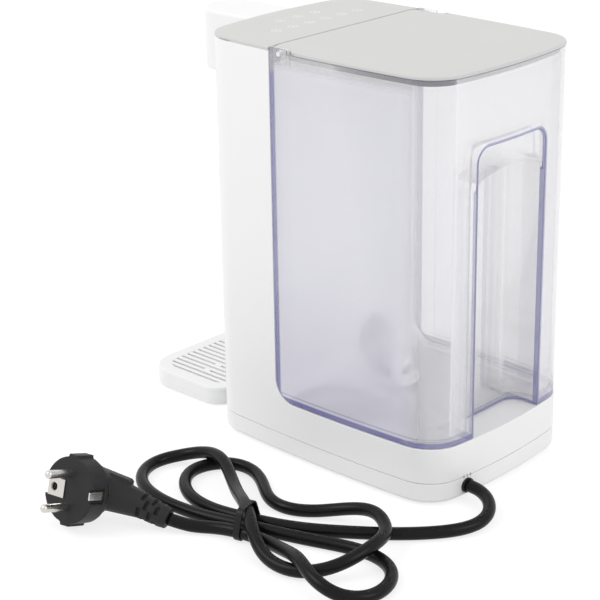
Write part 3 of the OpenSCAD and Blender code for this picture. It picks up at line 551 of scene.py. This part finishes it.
def crowned_plan():
    """Points of the body's plan, anticlockwise from the rear right corner."""
    half_w, half_d = body_w / 2, body_d / 2
    arc_steps, side_steps = 6, 8
    corners = []
    for k, (sx, sy) in enumerate(((1, 1), (-1, 1), (-1, -1), (1, -1))):
        middle_x, middle_y = sx * (half_w - corner_r), sy * (half_d - corner_r)
        turns = [math.radians(90 * (k + i / arc_steps)) for i in range(arc_steps + 1)]
        corners.append([
            (middle_x + corner_r * math.cos(t), middle_y + corner_r * math.sin(t)) for t in turns
        ])
    points = []
    for corner, following in zip(corners, corners[1:] + corners[:1]):
        points += corner
        for i in range(1, side_steps):
            points.append(tuple(p + (q - p) * i / side_steps for p, q in zip(corner[-1], following[0])))
    return [
        (x * (1 - side_crown * (y / half_d) ** 2 / half_w), y * (1 - end_crown * (x / half_w) ** 2 / half_d))
        for x, y in points
    ]


body_plan = crowned_plan()


def skin_distance(x, y):
    """How far a point of the plan lies from the body's outer skin, in mm."""
    nearest = body_d
    for (ax, ay), (bx, by) in zip(body_plan, body_plan[1:] + body_plan[:1]):
        dx, dy = bx - ax, by - ay
        t = max(0, min(1, ((x - ax) * dx + (y - ay) * dy) / (dx * dx + dy * dy)))
        nearest = min(nearest, math.hypot(x - ax - t * dx, y - ay - t * dy))
    return nearest


def on_skin(x, y, reach=0.3):
    """True where a point of the plan lies within reach of the body's outer skin."""
    return skin_distance(x, y) < reach


white_abs = moulded("white_abs", (0.84, 0.84, 0.845), 0.32, grain=2400, depth=0.000012)
exit_clear = 6
cover_bm = merged_copy("bottom_cover")
round_edges(cover_bm, 0.35, lambda x, y, z: z > 2 and on_skin(x, y) and abs(x - exit_x) > exit_clear)
shade(add_piece("cover_tray", cover_bm, white_abs, "base", "white_plastic", "bottom_cover"))

# Feet, gland and cover screws: four rubber feet pressed through the cover, the rubber gland that
# the lead is clamped in, and four cross-headed steel screws with turned shanks.
foot_rubber = moulded("foot_rubber", (0.05, 0.05, 0.052), 0.72, grain=900, depth=0.00005)
feet_bm = merged_copy("feet")
round_edges(feet_bm, 0.35)
shade(add_piece("rubber_feet", feet_bm, foot_rubber, "base", "foot_rubber", "feet"))
dress(nodes["cord_gland"], pvc_black)
steel = metal("zinc_steel", (0.52, 0.52, 0.53), 0.3, 1400, "Z")


class Grower:
    """A node tree that grows geometry, with named inputs; each call of add is one node."""

    kinds = {float: "NodeSocketFloat", int: "NodeSocketInt", Vector: "NodeSocketVector"}

    def __init__(self, name, **inputs):
        self.tree = bpy.data.node_groups.new(name, "GeometryNodeTree")
        face = self.tree.interface
        face.new_socket("Geometry", in_out="OUTPUT", socket_type="NodeSocketGeometry")
        face.new_socket("Geometry", in_out="INPUT", socket_type="NodeSocketGeometry")
        for key, value in inputs.items():
            face.new_socket(key, in_out="INPUT", socket_type=self.kinds[type(value)])
        face.new_socket("Finish", in_out="INPUT", socket_type="NodeSocketMaterial")
        self.given = self.tree.nodes.new("NodeGroupInput")
        self.values = inputs

    def add(self, kind, settings=None, **sockets):
        """Any node. A socket goes by its name, or by its number after an n."""
        made = self.tree.nodes.new(kind)
        for key, value in (settings or {}).items():
            setattr(made, key, value)
        for key, value in sockets.items():
            at = key.replace("_", " ")
            socket = made.inputs[int(at[1:])] if at[0] == "n" and at[1:].isdigit() else made.inputs[at]
            for one in value if isinstance(value, list) else [value]:
                if isinstance(one, bpy.types.NodeSocket):
                    self.tree.links.new(one, socket)
                else:
                    socket.default_value = one
        return made.outputs[0]

    def times(self, value, factor):
        return self.add("ShaderNodeMath", {"operation": "MULTIPLY"}, n0=value, n1=factor)

    def input(self, name):
        return self.given.outputs[name]

    def close(self, geometry):
        """Ends the tree: copies become real faces with their material."""
        real = self.add("GeometryNodeRealizeInstances", Geometry=geometry)
        finished = self.add("GeometryNodeSetMaterial", Geometry=real, Material=self.input("Finish"))
        output = self.tree.nodes.new("NodeGroupOutput")
        self.tree.links.new(finished, output.inputs["Geometry"])

    def grow(self, name, points, finish, body, slot, *stands_for, **values):
        """A piece grown at the given points, as a plain mesh."""
        seed = bpy.data.meshes.new(name + "_seed")
        seed.from_pydata([place(*point) for point in points], [], [])
        holder = linked(name + "_holder", seed)
        modifier = holder.modifiers.new("grow", "NODES")
        modifier.node_group = self.tree
        chosen = {**self.values, **values, "Finish": finish}
        for socket in self.tree.interface.items_tree:
            if socket.in_out == "INPUT" and socket.name != "Geometry":
                modifier[socket.identifier] = chosen[socket.name]
        graph = bpy.context.evaluated_depsgraph_get()
        mesh = bpy.data.meshes.new_from_object(holder.evaluated_get(graph))
        bpy.data.objects.remove(holder)
        bm = bmesh.new()
        bm.from_mesh(mesh)
        bmesh.ops.remove_doubles(bm, verts=bm.verts, dist=1e-7)
        bmesh.ops.recalc_face_normals(bm, faces=bm.faces)
        return shade(add_piece(name, bm, finish, body, slot, *stands_for))


screws = Grower(
    "cross_head_screw", Head=3.0, HeadHeight=1.4, Shank=1.5, Length=18.0, Recess=0.9, Turn=Vector((0, 0, 0))
)
head = screws.add(
    "GeometryNodeMeshCylinder", Vertices=32, Radius=screws.input("Head"), Depth=screws.input("HeadHeight")
)
arm_length = screws.times(screws.input("Head"), 1.25)
arm_width = screws.times(screws.input("Head"), 0.24)
outer_face = screws.add("ShaderNodeCombineXYZ", Z=screws.times(screws.input("HeadHeight"), -0.5))
arms = []
for x_size, y_size in ((arm_length, arm_width), (arm_width, arm_length)):
    size = screws.add("ShaderNodeCombineXYZ", X=x_size, Y=y_size, Z=screws.input("Recess"))
    arm = screws.add("GeometryNodeMeshCube", Size=size)
    arms.append(screws.add("GeometryNodeTransform", Geometry=arm, Translation=outer_face))
slotted = screws.add(
    "GeometryNodeMeshBoolean", {"operation": "DIFFERENCE", "solver": "EXACT"}, n0=head, n1=arms
)
shank = screws.add(
    "GeometryNodeMeshCylinder", Vertices=24, Radius=screws.input("Shank"), Depth=screws.input("Length")
)
shank_up = screws.add(
    "ShaderNodeMath", {"operation": "MULTIPLY_ADD"}, n0=screws.input("Length"), n1=0.5,
    n2=screws.times(screws.input("HeadHeight"), 0.45),
)
shank = screws.add(
    "GeometryNodeTransform", Geometry=shank, Translation=screws.add("ShaderNodeCombineXYZ", Z=shank_up)
)
one_screw = screws.add("GeometryNodeJoinGeometry", Geometry=[slotted, shank])
small_screw = screws.add("GeometryNodeTransform", Geometry=one_screw, Scale=(MM, MM, MM))
screws.close(screws.add(
    "GeometryNodeInstanceOnPoints", Points=screws.input("Geometry"), Instance=small_screw,
    Rotation=screws.input("Turn"),
))
screw_x = body_w / 2 - wall - 12
screw_spots = [(sx * screw_x, y) for sx in (-1, 1) for y in (front_y + 18, back_y - 20)]
screws.grow(
    "cover_screw_set", [(x, y, 3.4) for x, y in screw_spots], steel, "base", "steel", "cover_screws",
    Length=15.0,
)

# Housing: the white ABS moulding that is the column in front and the deck under the tank. Its
# outer edges are softly rounded where it meets the tank, the touch panel and the bottom cover.
def at_exit(x, y, z):
    """True close to the opening that the lead leaves by, whose edges stay sharp."""
    return z < 16 and abs(x - exit_x) < exit_clear and y > 0


housing_bm = merged_copy("housing")
round_edges(housing_bm, 0.4, lambda x, y, z: on_skin(x, y) and not at_exit(x, y, z))
shade(add_piece("housing_shell", housing_bm, white_abs, "base", "white_plastic", "housing"))

# Inside the column: pump on its rubber seat, flow heater in two spring brackets with a thermal
# cut-out, silicone hoses, and the power board on four standoffs. Plain bought-in parts.
motor_steel = metal("motor_can", (0.42, 0.42, 0.43), 0.36, 1500, "X")
board_green = Finish("board_green", (0.02, 0.13, 0.05), 0.34)
tracks = board_green.node("ShaderNodeTexBrick", {}, {
    "Vector": board_green.place, "Color1": (1, 1, 1, 1), "Color2": (0.6, 0.6, 0.6, 1), "Mortar": (0, 0, 0, 1),
    "Scale": 190.0, "Mortar Size": 0.03,
}, out=1)
board_green.set(
    Base_Color=board_green.blend(tracks, (0.018, 0.11, 0.045, 1), (0.04, 0.2, 0.08, 1)),
    Roughness=board_green.range(board_green.noise(300, 3), 0.28, 0.42),
)
silicone = moulded("hose_silicone", (0.72, 0.73, 0.74), 0.42, grain=1200, depth=0.00001)
seal_rubber = moulded("seal_rubber", (0.5, 0.5, 0.52), 0.6, grain=1200, depth=0.00003)
valve_pom = moulded("valve_pom", (0.78, 0.78, 0.79), 0.38, grain=1800, depth=0.00001)
for name in ("heater", "heater_brackets"):
    dress(nodes[name], steel)
dress(nodes["pump_motor"], motor_steel)
dress(nodes["pump_head"], valve_pom)
for name in ("pump_seat", "thermal_cutout"):
    dress(nodes[name], foot_rubber)
for name in ("power_board", "touch_board"):
    dress(nodes[name], board_green.material)
for name in ("inlet_hose", "pump_hose", "outlet_hose"):
    dress(nodes[name], silicone)
board_t, board_head = 1.6, 1.4
board_face = column_back - wall - 4 - board_t
screws.grow(
    "board_screw_set",
    [(x, board_face - board_head / 2, z) for x in (11, 47) for z in (89, 179)],
    steel, "base", "steel", "board_screws",
    Head=2.2, HeadHeight=board_head, Shank=1.0, Length=4.5, Recess=0.8, Turn=Vector((-math.pi / 2, 0, 0)),
)

# Coupling in the deck: a white acetal cup with its centre pin and a soft lip seal, which the
# tank's valve neck drops into.
dress(nodes["tank_coupling"], valve_pom)
dress(nodes["coupling_seal"], seal_rubber)

# Touch panel: a light grey ABS cap with a wide, softly falling border, snapped over the column.
# Nine sensing springs stand under it in two rows; faint rings mark their places.
body_h, cap_t, cap_border = 251, 2.4, 9
solid_edge, cap_edge = 0.9, 1.7
rim_z = body_h - cap_t
touch_y = front_y + 31
key_rows = ((-9, 15, 3), (7, 14, 6))
ring_in, ring_out, dot_r = 2.5, 3.1, 0.9


def lift_rim(bm):
    """Raises a cap's rim from the solid's height to its own, so that its border falls less."""
    for vertex in bm.verts:
        if abs(vertex.co.z / MM - rim_z - solid_edge) < 0.02:
            vertex.co.z = (rim_z + cap_edge) * MM


def soften_border(bm):
    """Cuts a cap's skin into a fine grid and lets its border fall in one soft curve."""
    grid_step, border_fall = 4, 0.6
    for half, normal in ((body_w / 2, Vector((1, 0, 0))), (body_d / 2, Vector((0, 1, 0)))):
        last = int(half // grid_step)
        for i in range(-last, last + 1):
            bmesh.ops.bisect_plane(
                bm, geom=bm.verts[:] + bm.edges[:] + bm.faces[:], dist=1e-7,
                plane_co=place(*(normal * i * grid_step)), plane_no=normal,
            )
    for vertex in bm.verts:
        x, y, z = vertex.co.x / MM, vertex.co.y / MM - body_shift, vertex.co.z / MM
        share = min(cap_border, skin_distance(x, y)) / cap_border
        if abs(z - (rim_z + cap_edge + (cap_t - cap_edge) * share)) < 0.06:
            vertex.co.z += border_fall * (share - share**2) * MM


def cap_finish(name, rings):
    """Light grey moulded cap: very fine grain, a slow drift of tone, and faint printed rings."""
    finish = Finish(name, (0.57, 0.57, 0.56), 0.4)
    across, along = (
        finish.node("ShaderNodeSeparateXYZ", {}, {0: finish.place}, out=i) * 1000 for i in (0, 1)
    )
    along = along - (body_shift + touch_y)
    grain = finish.noise(2600, 2)
    cloudy = finish.noise(7, 3)
    tone = finish.blend(cloudy, (0.555, 0.555, 0.545, 1), (0.59, 0.59, 0.58, 1))
    if rings:
        marks = 0
        for row_y, pitch, count in key_rows:
            steps = across * (1 / pitch) + (count - 1) / 2
            near = (steps - maths("ROUND", steps)) * pitch
            gap = along - row_y
            away = maths("SQRT", near * near + gap * gap)
            ring = (away > ring_in) * (away < ring_out) + (away < dot_r)
            marks = ring * (maths("ABSOLUTE", across) < pitch * count / 2) + marks
        tone = finish.blend(maths("MINIMUM", marks, 1.0) * 0.55, tone, (0.9, 0.9, 0.89, 1))
    finish.set(
        Base_Color=tone,
        Roughness=finish.range(finish.noise(30, 4), 0.36, 0.46),
        Normal=finish.bump(grain, 0.000012),
    )
    return finish.material


panel_bm = merged_copy("control_panel")
lift_rim(panel_bm)
round_edges(panel_bm, 0.25, lambda x, y, z: z > rim_z - 0.05 and y > column_back - 0.3, 2)
round_edges(panel_bm, 0.6, lambda x, y, z: z > rim_z + 0.5 and on_skin(x, y) and y < column_back - 0.4, 4)
soften_border(panel_bm)
shade(add_piece(
    "touch_panel", panel_bm, cap_finish("panel_grey", True), "base", "panel_grey", "control_panel"
))
coils = Grower("sensing_spring", Radius=2.7, Height=5.9, Wire=0.28, Turns=6.0)
spiral = coils.add(
    "GeometryNodeCurveSpiral", Resolution=18, Rotations=coils.input("Turns"), Height=coils.input("Height"),
    Start_Radius=coils.input("Radius"), End_Radius=coils.input("Radius"),
)
wire = coils.add("GeometryNodeCurvePrimitiveCircle", Resolution=8, Radius=coils.input("Wire"))
coil = coils.add("GeometryNodeCurveToMesh", Curve=spiral, Profile_Curve=wire, Fill_Caps=True)
coil = coils.add("GeometryNodeTransform", Geometry=coil, Scale=(MM, MM, MM))
coils.close(coils.add("GeometryNodeInstanceOnPoints", Points=coils.input("Geometry"), Instance=coil))
spring_z = rim_z - 6 + 0.3
coils.grow(
    "touch_spring_set",
    [
        (pitch * (i - (count - 1) / 2), touch_y + row_y, spring_z)
        for row_y, pitch, count in key_rows for i in range(count)
    ],
    steel, "base", "steel", "touch_springs", Height=5.2,
)

# Spout: a hollow white ABS head with a soft round nose, screwed on from inside the column. A
# cover closes it from below round the steel nozzle.
spout_r, spout_reach, spout_h = 18, 50, 37
spout_top = rim_z + cap_edge
spout_z = spout_top - spout_h
spout_mid = front_y - spout_reach + spout_r


def spout_ring(inset, z):
    """Closed row round the head: its nose, its sides, and back along the crowned wall."""
    half = spout_r - inset
    nose_steps, back_steps = 32, 12
    turns = [math.pi * i / nose_steps for i in range(nose_steps + 1)]
    nose = [(half * math.cos(t), spout_mid - half * math.sin(t)) for t in turns]
    across = [half * (2 * i / back_steps - 1) for i in range(back_steps + 1)]
    back = [(x, front_y + end_fall(x) + 0.2) for x in across]
    return [(x, y, z) for x, y in nose + back]


def loft(rows, ring):
    """Solid through closed rows of points; as a ring its last row joins the first."""
    bm = bmesh.new()
    rows = [[bm.verts.new(place(*point)) for point in row] for row in rows]
    for low, high in zip(rows, rows[1:] + (rows[:1] if ring else [])):
        for k in range(len(low)):
            j = (k + 1) % len(low)
            bm.faces.new((low[k], low[j], high[j], high[k]))
    if not ring:
        bm.faces.new(rows[0])
        bm.faces.new(rows[-1])
    bmesh.ops.recalc_face_normals(bm, faces=bm.faces)
    return bm


spout_wall = 2.2
spout_profile = [
    (spout_wall, spout_top - spout_wall), (spout_wall, spout_z), (0.9, spout_z), (0.35, spout_z + 0.15),
    (0.08, spout_z + 0.5), (0, spout_z + 1.1), (0, spout_top - 2.6), (0.2, spout_top - 1.5),
    (0.7, spout_top - 0.7), (1.5, spout_top - 0.2), (2.6, spout_top),
]
spout_bm = loft([spout_ring(inset, z) for inset, z in spout_profile], ring=False)
shade(add_piece("spout_shell", spout_bm, white_abs, "base", "white_plastic", "spout_head"))
dress(nodes["spout_cover"], valve_pom)
dress(nodes["spout_nozzle"], steel)
dress(nodes["spout_screws"], steel)

# Drip tray: a white ABS dish that slides under the spout on a flat tongue, with a grille laid in
# it. The grille is a frame with a folded skirt and a row of slats, every second gap bridged.
tray_w, tray_reach, tray_gap, tray_h, grille_t = 88.8, 79.5, 10, 9.4, 3
tray_y0, tray_y1 = front_y - tray_reach, front_y - tray_gap
front_r, rear_r = 20, 14
grille_rim, slot_pitch, slot_w = 8.5, 4.9, 2
tray_bm = merged_copy("drip_tray")
round_edges(tray_bm, 0.45, lambda x, y, z: y < tray_y1 - 0.5 or z < 1)
shade(add_piece("tray_dish", tray_bm, white_abs, "tray", "white_plastic", "drip_tray"))


def tray_ring(inset):
    """Rounded outline of the tray, drawn in by an inset."""
    points = []
    arc_steps = 10
    rear, front = tray_y1 - rear_r, tray_y0 + front_r
    corners = ((1, rear, rear_r), (-1, rear, rear_r), (-1, front, front_r), (1, front, front_r))
    for k, (side, middle_y, r) in enumerate(corners):
        middle_x = side * (tray_w / 2 - r)
        for i in range(arc_steps + 1):
            t = math.radians(90 * (k + i / arc_steps))
            points.append((middle_x + (r - inset) * math.cos(t), middle_y + (r - inset) * math.sin(t)))
    return points


grille_top = tray_h + grille_t
inner = grille_rim + 0.5
plate_under, skirt_foot = tray_h + 0.9, tray_h - 2.4
skirt_out, skirt_in, tray_play = 2.2, 3.8, 0.05
frame_profile = [
    (0, tray_h + tray_play), (0, grille_top - 1.2), (0.12, grille_top - 0.65), (0.45, grille_top - 0.25),
    (0.95, grille_top - 0.05), (1.5, grille_top), (inner - 0.6, grille_top), (inner - 0.2, grille_top - 0.12),
    (inner, grille_top - 0.5), (inner, plate_under), (skirt_in, plate_under), (skirt_in, skirt_foot),
    (skirt_out, skirt_foot), (skirt_out, tray_h + tray_play),
]
grille_bm = loft([[(x, y, z) for x, y in tray_ring(inset)] for inset, z in frame_profile], ring=True)
shade(add_piece("grille_frame", grille_bm, white_abs, "grille", "white_plastic", "drip_grille"))
slats = Grower("slat_row", Count=14, Pitch=4.9, Length=60.0, Width=2.9, Height=2.0)
far_end = slats.add("ShaderNodeCombineXYZ", Y=slats.input("Length"))
slat_path = slats.add("GeometryNodeCurvePrimitiveLine", End=far_end)
slat_path = slats.add("GeometryNodeSetCurveNormal", {"mode": "Z_UP"}, Curve=slat_path)
slat_profile = slats.add(
    "GeometryNodeCurvePrimitiveQuadrilateral", Width=slats.input("Width"), Height=slats.input("Height")
)
slat_profile = slats.add(
    "GeometryNodeFilletCurve", {"mode": "POLY"}, Curve=slat_profile, Radius=0.4, Count=4
)
slat = slats.add("GeometryNodeCurveToMesh", Curve=slat_path, Profile_Curve=slat_profile, Fill_Caps=True)
slat = slats.add("GeometryNodeTransform", Geometry=slat, Scale=(MM, MM, MM))
step = slats.times(slats.input("Pitch"), MM)
line = slats.add(
    "GeometryNodeMeshLine", {"mode": "OFFSET"}, Count=slats.input("Count"),
    Offset=slats.add("ShaderNodeCombineXYZ", X=step),
)
one_row = slats.add("GeometryNodeInstanceOnPoints", Points=line, Instance=slat)
slats.close(slats.add("GeometryNodeInstanceOnPoints", Points=slats.input("Geometry"), Instance=one_row))
slot_n, slat_t = 7, 1.9
slat_z = plate_under + slat_t / 2
slat_inset = 5
slats.grow(
    "grille_slats", [((0.5 - slot_n) * slot_pitch, tray_y0 + slat_inset, slat_z)],
    white_abs, "grille", "white_plastic",
    Count=2 * slot_n, Pitch=slot_pitch, Length=tray_y1 - tray_y0 - 2 * slat_inset,
    Width=slot_pitch - slot_w, Height=slat_t + 0.05,
)
bridge_y = (tray_y0 + tray_y1) / 2 + 0.7
slats.grow(
    "grille_bridges", [(-5 * slot_pitch, bridge_y, slat_z)], white_abs, "grille", "white_plastic",
    Count=6, Pitch=2 * slot_pitch, Length=5.0, Width=slot_w + 1.2, Height=slat_t,
)

# Tank: one clear moulding with a faint violet tint, open at the top. Its walls are glossy and
# slightly hazed, the right one matt inside; cut edges and rims gather the tint and look darker.
tank_gap = 0.3
tank_front = column_back + tank_gap
tank_z = deck_h + tank_gap
grip_w, grip_top, grip_r = 60, 206.5, 8.5
grip_reach, grip_front, grip_face, mouth_front = 34, 58, 88.6, 66
matt_until, clear_from = 62, 80
grey_until, pale_from = 45, 140
ear_z, rim_skin_z = 238, 243.5
clear_violet = (0.55, 0.56, 0.80)
edge_violet, edge_grey = (0.17, 0.165, 0.42, 1), (0.33, 0.33, 0.4, 1)
wall_clear, wall_matt = (0.95, 0.945, 1.0, 1), (0.86, 0.85, 0.935, 1)
# Painted shade: the matt wall's colour low down, darker where the shaded deck shows through
wall_painted_shade = (0.75, 0.74, 0.84, 1)


def glazed(finish):
    """Lays a polished film over a finish, stronger where it is seen aslant."""
    film = {"Base Color": (1, 1, 1, 1), "Metallic": 1, "Roughness": 0.07}
    gloss = finish.node("ShaderNodeBsdfPrincipled", {}, film)
    sheen = finish.node("ShaderNodeFresnel", {}, {"IOR": 1.45})
    plastic = Port(finish, finish.shader.outputs[0])
    layered = finish.node("ShaderNodeMixShader", {}, {0: sheen * 0.5, 1: plastic, 2: gloss})
    finish.tree.links.new(layered.socket, finish.tree.nodes["Material Output"].inputs["Surface"])
    return finish.material


def past(value, limit):
    """How far a value is beyond a limit, and 0 before it."""
    return maths("MAXIMUM", value - limit, 0.0)


def diagonal(one, other):
    return maths("SQRT", one * one + other * other)


def clear_wall():
    """Hazed clear plastic, whose front strip, foot and grip outline carry more of the tint."""
    finish = Finish("clear_tank", clear_violet, 0.16, IOR=1.5)
    across, depth, height = (
        finish.node("ShaderNodeSeparateXYZ", {}, {0: finish.place}, out=i) * 1000 for i in range(3)
    )
    depth = depth - body_shift
    off_middle = maths("ABSOLUTE", across)

    def fade(value, full, none):
        """1 where the value is full, falling to 0 where it is none."""
        return finish.node("ShaderNodeMapRange", {"interpolation_type": "SMOOTHSTEP"}, {
            "Value": value, "From Min": none, "From Max": full, "To Min": 0.0, "To Max": 1.0,
        })

    # Outer skin: within 1.6 mm of the plan, with the crown of the walls taken off
    side, along = across * (2 / body_w), depth * (2 / body_d)
    straight_depth = depth + side * side * end_crown
    past_flank = past(off_middle + along * along * side_crown, body_w / 2 - corner_r)
    past_back = past(straight_depth, body_d / 2 - corner_r)
    outer = diagonal(past_flank, past_back) > corner_r - 1.6

    strip = fade(depth, tank_front + 3.0, tank_front + 4.6)
    foot = fade(height, tank_z + 3.0, tank_z + 4.2)
    # The floor's fillet shows as a second, thinner line above the foot
    fillet = fade(height, tank_z + 5.4, tank_z + 4.9) * fade(height, tank_z + 5.7, tank_z + 6.3)
    edge = maths("MAXIMUM", maths("MAXIMUM", strip, foot), fillet * 0.5) * outer

    # The grip's outline gathers the tint in a band as wide as the wall is thick
    grip_side, grip_arch = grip_w / 2 - grip_r, grip_top - grip_r
    corner = diagonal(past(off_middle, grip_side), past(height, grip_arch))
    inside = maths("MINIMUM", maths("MAXIMUM", off_middle - grip_side, height - grip_arch), 0.0)
    away = corner + inside - grip_r
    band = (away > -0.5) * fade(away, 1.5, 2.3) * (straight_depth > grip_face)
    mouth = fade(height, tank_z + 1.7, tank_z + 2.2) * (depth > mouth_front) * (off_middle < grip_reach)
    edge = maths("MAXIMUM", maths("MAXIMUM", edge, band), mouth)
    pocket = (depth > grip_front) * (straight_depth < grip_face) * (away < 1.0)

    # The right wall is matt inside, but clears towards its rear corner and its top. Low down it
    # # is hazier, and its colour is darker there: painted shade of the shaded deck seen through it
    matt = outer * (across > 0) * fade(depth, matt_until, clear_from) * fade(height, ear_z, ear_z + 6)
    low_shade_and_haze = fade(height, grey_until, pale_from)
    tint = finish.blend(fade(height, ear_z + 1, ear_z - 3), edge_violet, edge_grey)
    haze = finish.blend(matt, wall_clear, finish.blend(low_shade_and_haze, wall_matt, wall_painted_shade))
    facing = finish.node("ShaderNodeLayerWeight", {}, {"Blend": 0.3}, out=1)
    density = facing * 0.09 + finish.noise(6, 3) * 0.06 + matt * (low_shade_and_haze * 0.24 + 0.3) + 0.15
    density = density - pocket * 0.11 - (height > rim_skin_z) * 0.07
    finish.set(Base_Color=finish.blend(edge, haze, tint), Alpha=maths("MAXIMUM", edge * 0.62, density))
    return glazed(finish)


def clear_edge():
    """The same plastic on rounded rims, where it is thickest and darkest."""
    finish = Finish("clear_tank_edge", clear_violet, 0.16, IOR=1.5)
    cloud = finish.noise(6, 3)
    finish.set(Base_Color=finish.blend(cloud, (0.10, 0.095, 0.29, 1), (0.15, 0.145, 0.38, 1)), Alpha=0.82)
    return glazed(finish)


tank_bm = merged_copy("tank")
rims = round_edges(tank_bm, 0.6, lambda x, y, z: z < ear_z, 3)
rims += round_edges(tank_bm, 0.2, lambda x, y, z: z >= ear_z, 2)
for face in rims:
    if face.is_valid:
        middle = face.calc_center_median() / MM
        face.material_index = int(on_skin(middle.x, middle.y - body_shift, 1.3))
tank = shade(add_piece("water_tank", tank_bm, clear_wall(), "tank", "clear_tank", "tank"))
tank.data.materials.append(clear_edge())

# Tank valve: white acetal body with its nut and rubber gasket, and a sprung plunger that the
# coupling's pin holds open. It stands in the tank's floor.
for name in ("valve_body", "valve_nut", "valve_plunger"):
    dress(nodes[name], valve_pom)
for name in ("valve_gasket", "plunger_seal"):
    dress(nodes[name], seal_rubber)
dress(nodes["valve_spring"], steel)

# Lid: a light grey ABS plate with the same soft border as the touch panel, hinged on two white
# # pins in the tank's ears. Its skirt is a grey welded frame with short centring ribs, coloured darker than
# its real grey as a painted dark reflection, as seen at its corner.
lid_bm = merged_copy("lid")
lift_rim(lid_bm)
ear_notch = tank_front + 26
round_edges(lid_bm, 0.6, lambda x, y, z: z > rim_z + 0.5 and y > ear_notch and on_skin(x, y), 4)
soften_border(lid_bm)
shade(add_piece("tank_lid", lid_bm, cap_finish("lid_grey", False), "lid", "panel_grey", "lid"))
# Partly painted: the frame is grey, but its darker colour stands in for the dark reflection at the lid's
# corner
skirt_grey = moulded("skirt_grey", (0.1, 0.1, 0.108), 0.2, grain=1800, depth=0.000008)
shade(add_piece("lid_frame", merged_copy("lid_skirt"), skirt_grey, "lid", "skirt_grey", "lid_skirt"))
pin_bm = merged_copy("hinge_pins")
round_edges(pin_bm, 0.3)
shade(add_piece("hinge_pin_pair", pin_bm, valve_pom, "lid", "valve_white", "hinge_pins"))

# Floor and light: a pale flat floor under the part and a soft studio round it, with a large
# lamp on the left above the part and a weaker one on the right.
def seen_rays(tree):
    """Socket that is 1 for rays from the eye, straight, mirrored or bent, and 0 for light alone."""
    paths = tree.nodes.new("ShaderNodeLightPath")
    seen = paths.outputs["Is Camera Ray"]
    for kind in ("Is Glossy Ray", "Is Transmission Ray"):
        either = tree.nodes.new("ShaderNodeMath")
        either.operation = "MAXIMUM"
        tree.links.new(seen, either.inputs[0])
        tree.links.new(paths.outputs[kind], either.inputs[1])
        seen = either.outputs[0]
    return seen


floor_half, floor_drop = 6, 0.0002
floor_bm = bmesh.new()
bmesh.ops.create_grid(
    floor_bm, x_segments=2, y_segments=2, size=floor_half, matrix=Matrix.Translation((0, 0, -floor_drop))
)
floor = object_from("floor", floor_bm)
paper = Finish("white_paper", (0.8, 0.8, 0.8), 0.9, Specular_IOR_Level=0.0)
paper_seen = Port(paper, seen_rays(paper.tree))
paper.set(
    Base_Color=paper.blend(paper_seen, (0.8, 0.8, 0.8, 1), (0.30, 0.30, 0.30, 1)),
    Emission_Color=(1, 1, 1, 1),
    Emission_Strength=paper_seen * 0.75,
)
dress(floor, paper.material)

world = bpy.data.worlds.new("studio")
bpy.context.scene.world = world
world.use_nodes = True
studio = world.node_tree
studio.nodes.clear()
studio_mix = studio.nodes.new("ShaderNodeMixShader")
studio.links.new(seen_rays(studio), studio_mix.inputs[0])
# The studio is seen pure white and lights the part a little less
lighting, seen_white = 0.88, 1.0
for slot, strength in ((1, lighting), (2, seen_white)):
    backdrop = studio.nodes.new("ShaderNodeBackground")
    backdrop.inputs["Color"].default_value = (1, 1, 1, 1)
    backdrop.inputs["Strength"].default_value = strength
    studio.links.new(backdrop.outputs[0], studio_mix.inputs[slot])
studio.links.new(studio_mix.outputs[0], studio.nodes.new("ShaderNodeOutputWorld").inputs[0])


def lamp(name, where, watts):
    """Square soft lamp that faces the middle of the part."""
    made = linked(name, bpy.data.lights.new(name, "AREA"))
    made.data.size = 1.0
    made.data.energy = watts
    made.location = where
    aim = Vector((0.03, 0.03, 0.12)) - Vector(where)
    made.rotation_euler = aim.to_track_quat("-Z", "Y").to_euler()


lamp("lamp_left", (1.3, -0.9, 1.6), 13)
lamp("lamp_right", (-0.3, 1.9, 1.2), 9)

bpy.context.scene.view_settings.view_transform = "Standard"
bpy.context.scene.cycles.transparent_max_bounces = 32
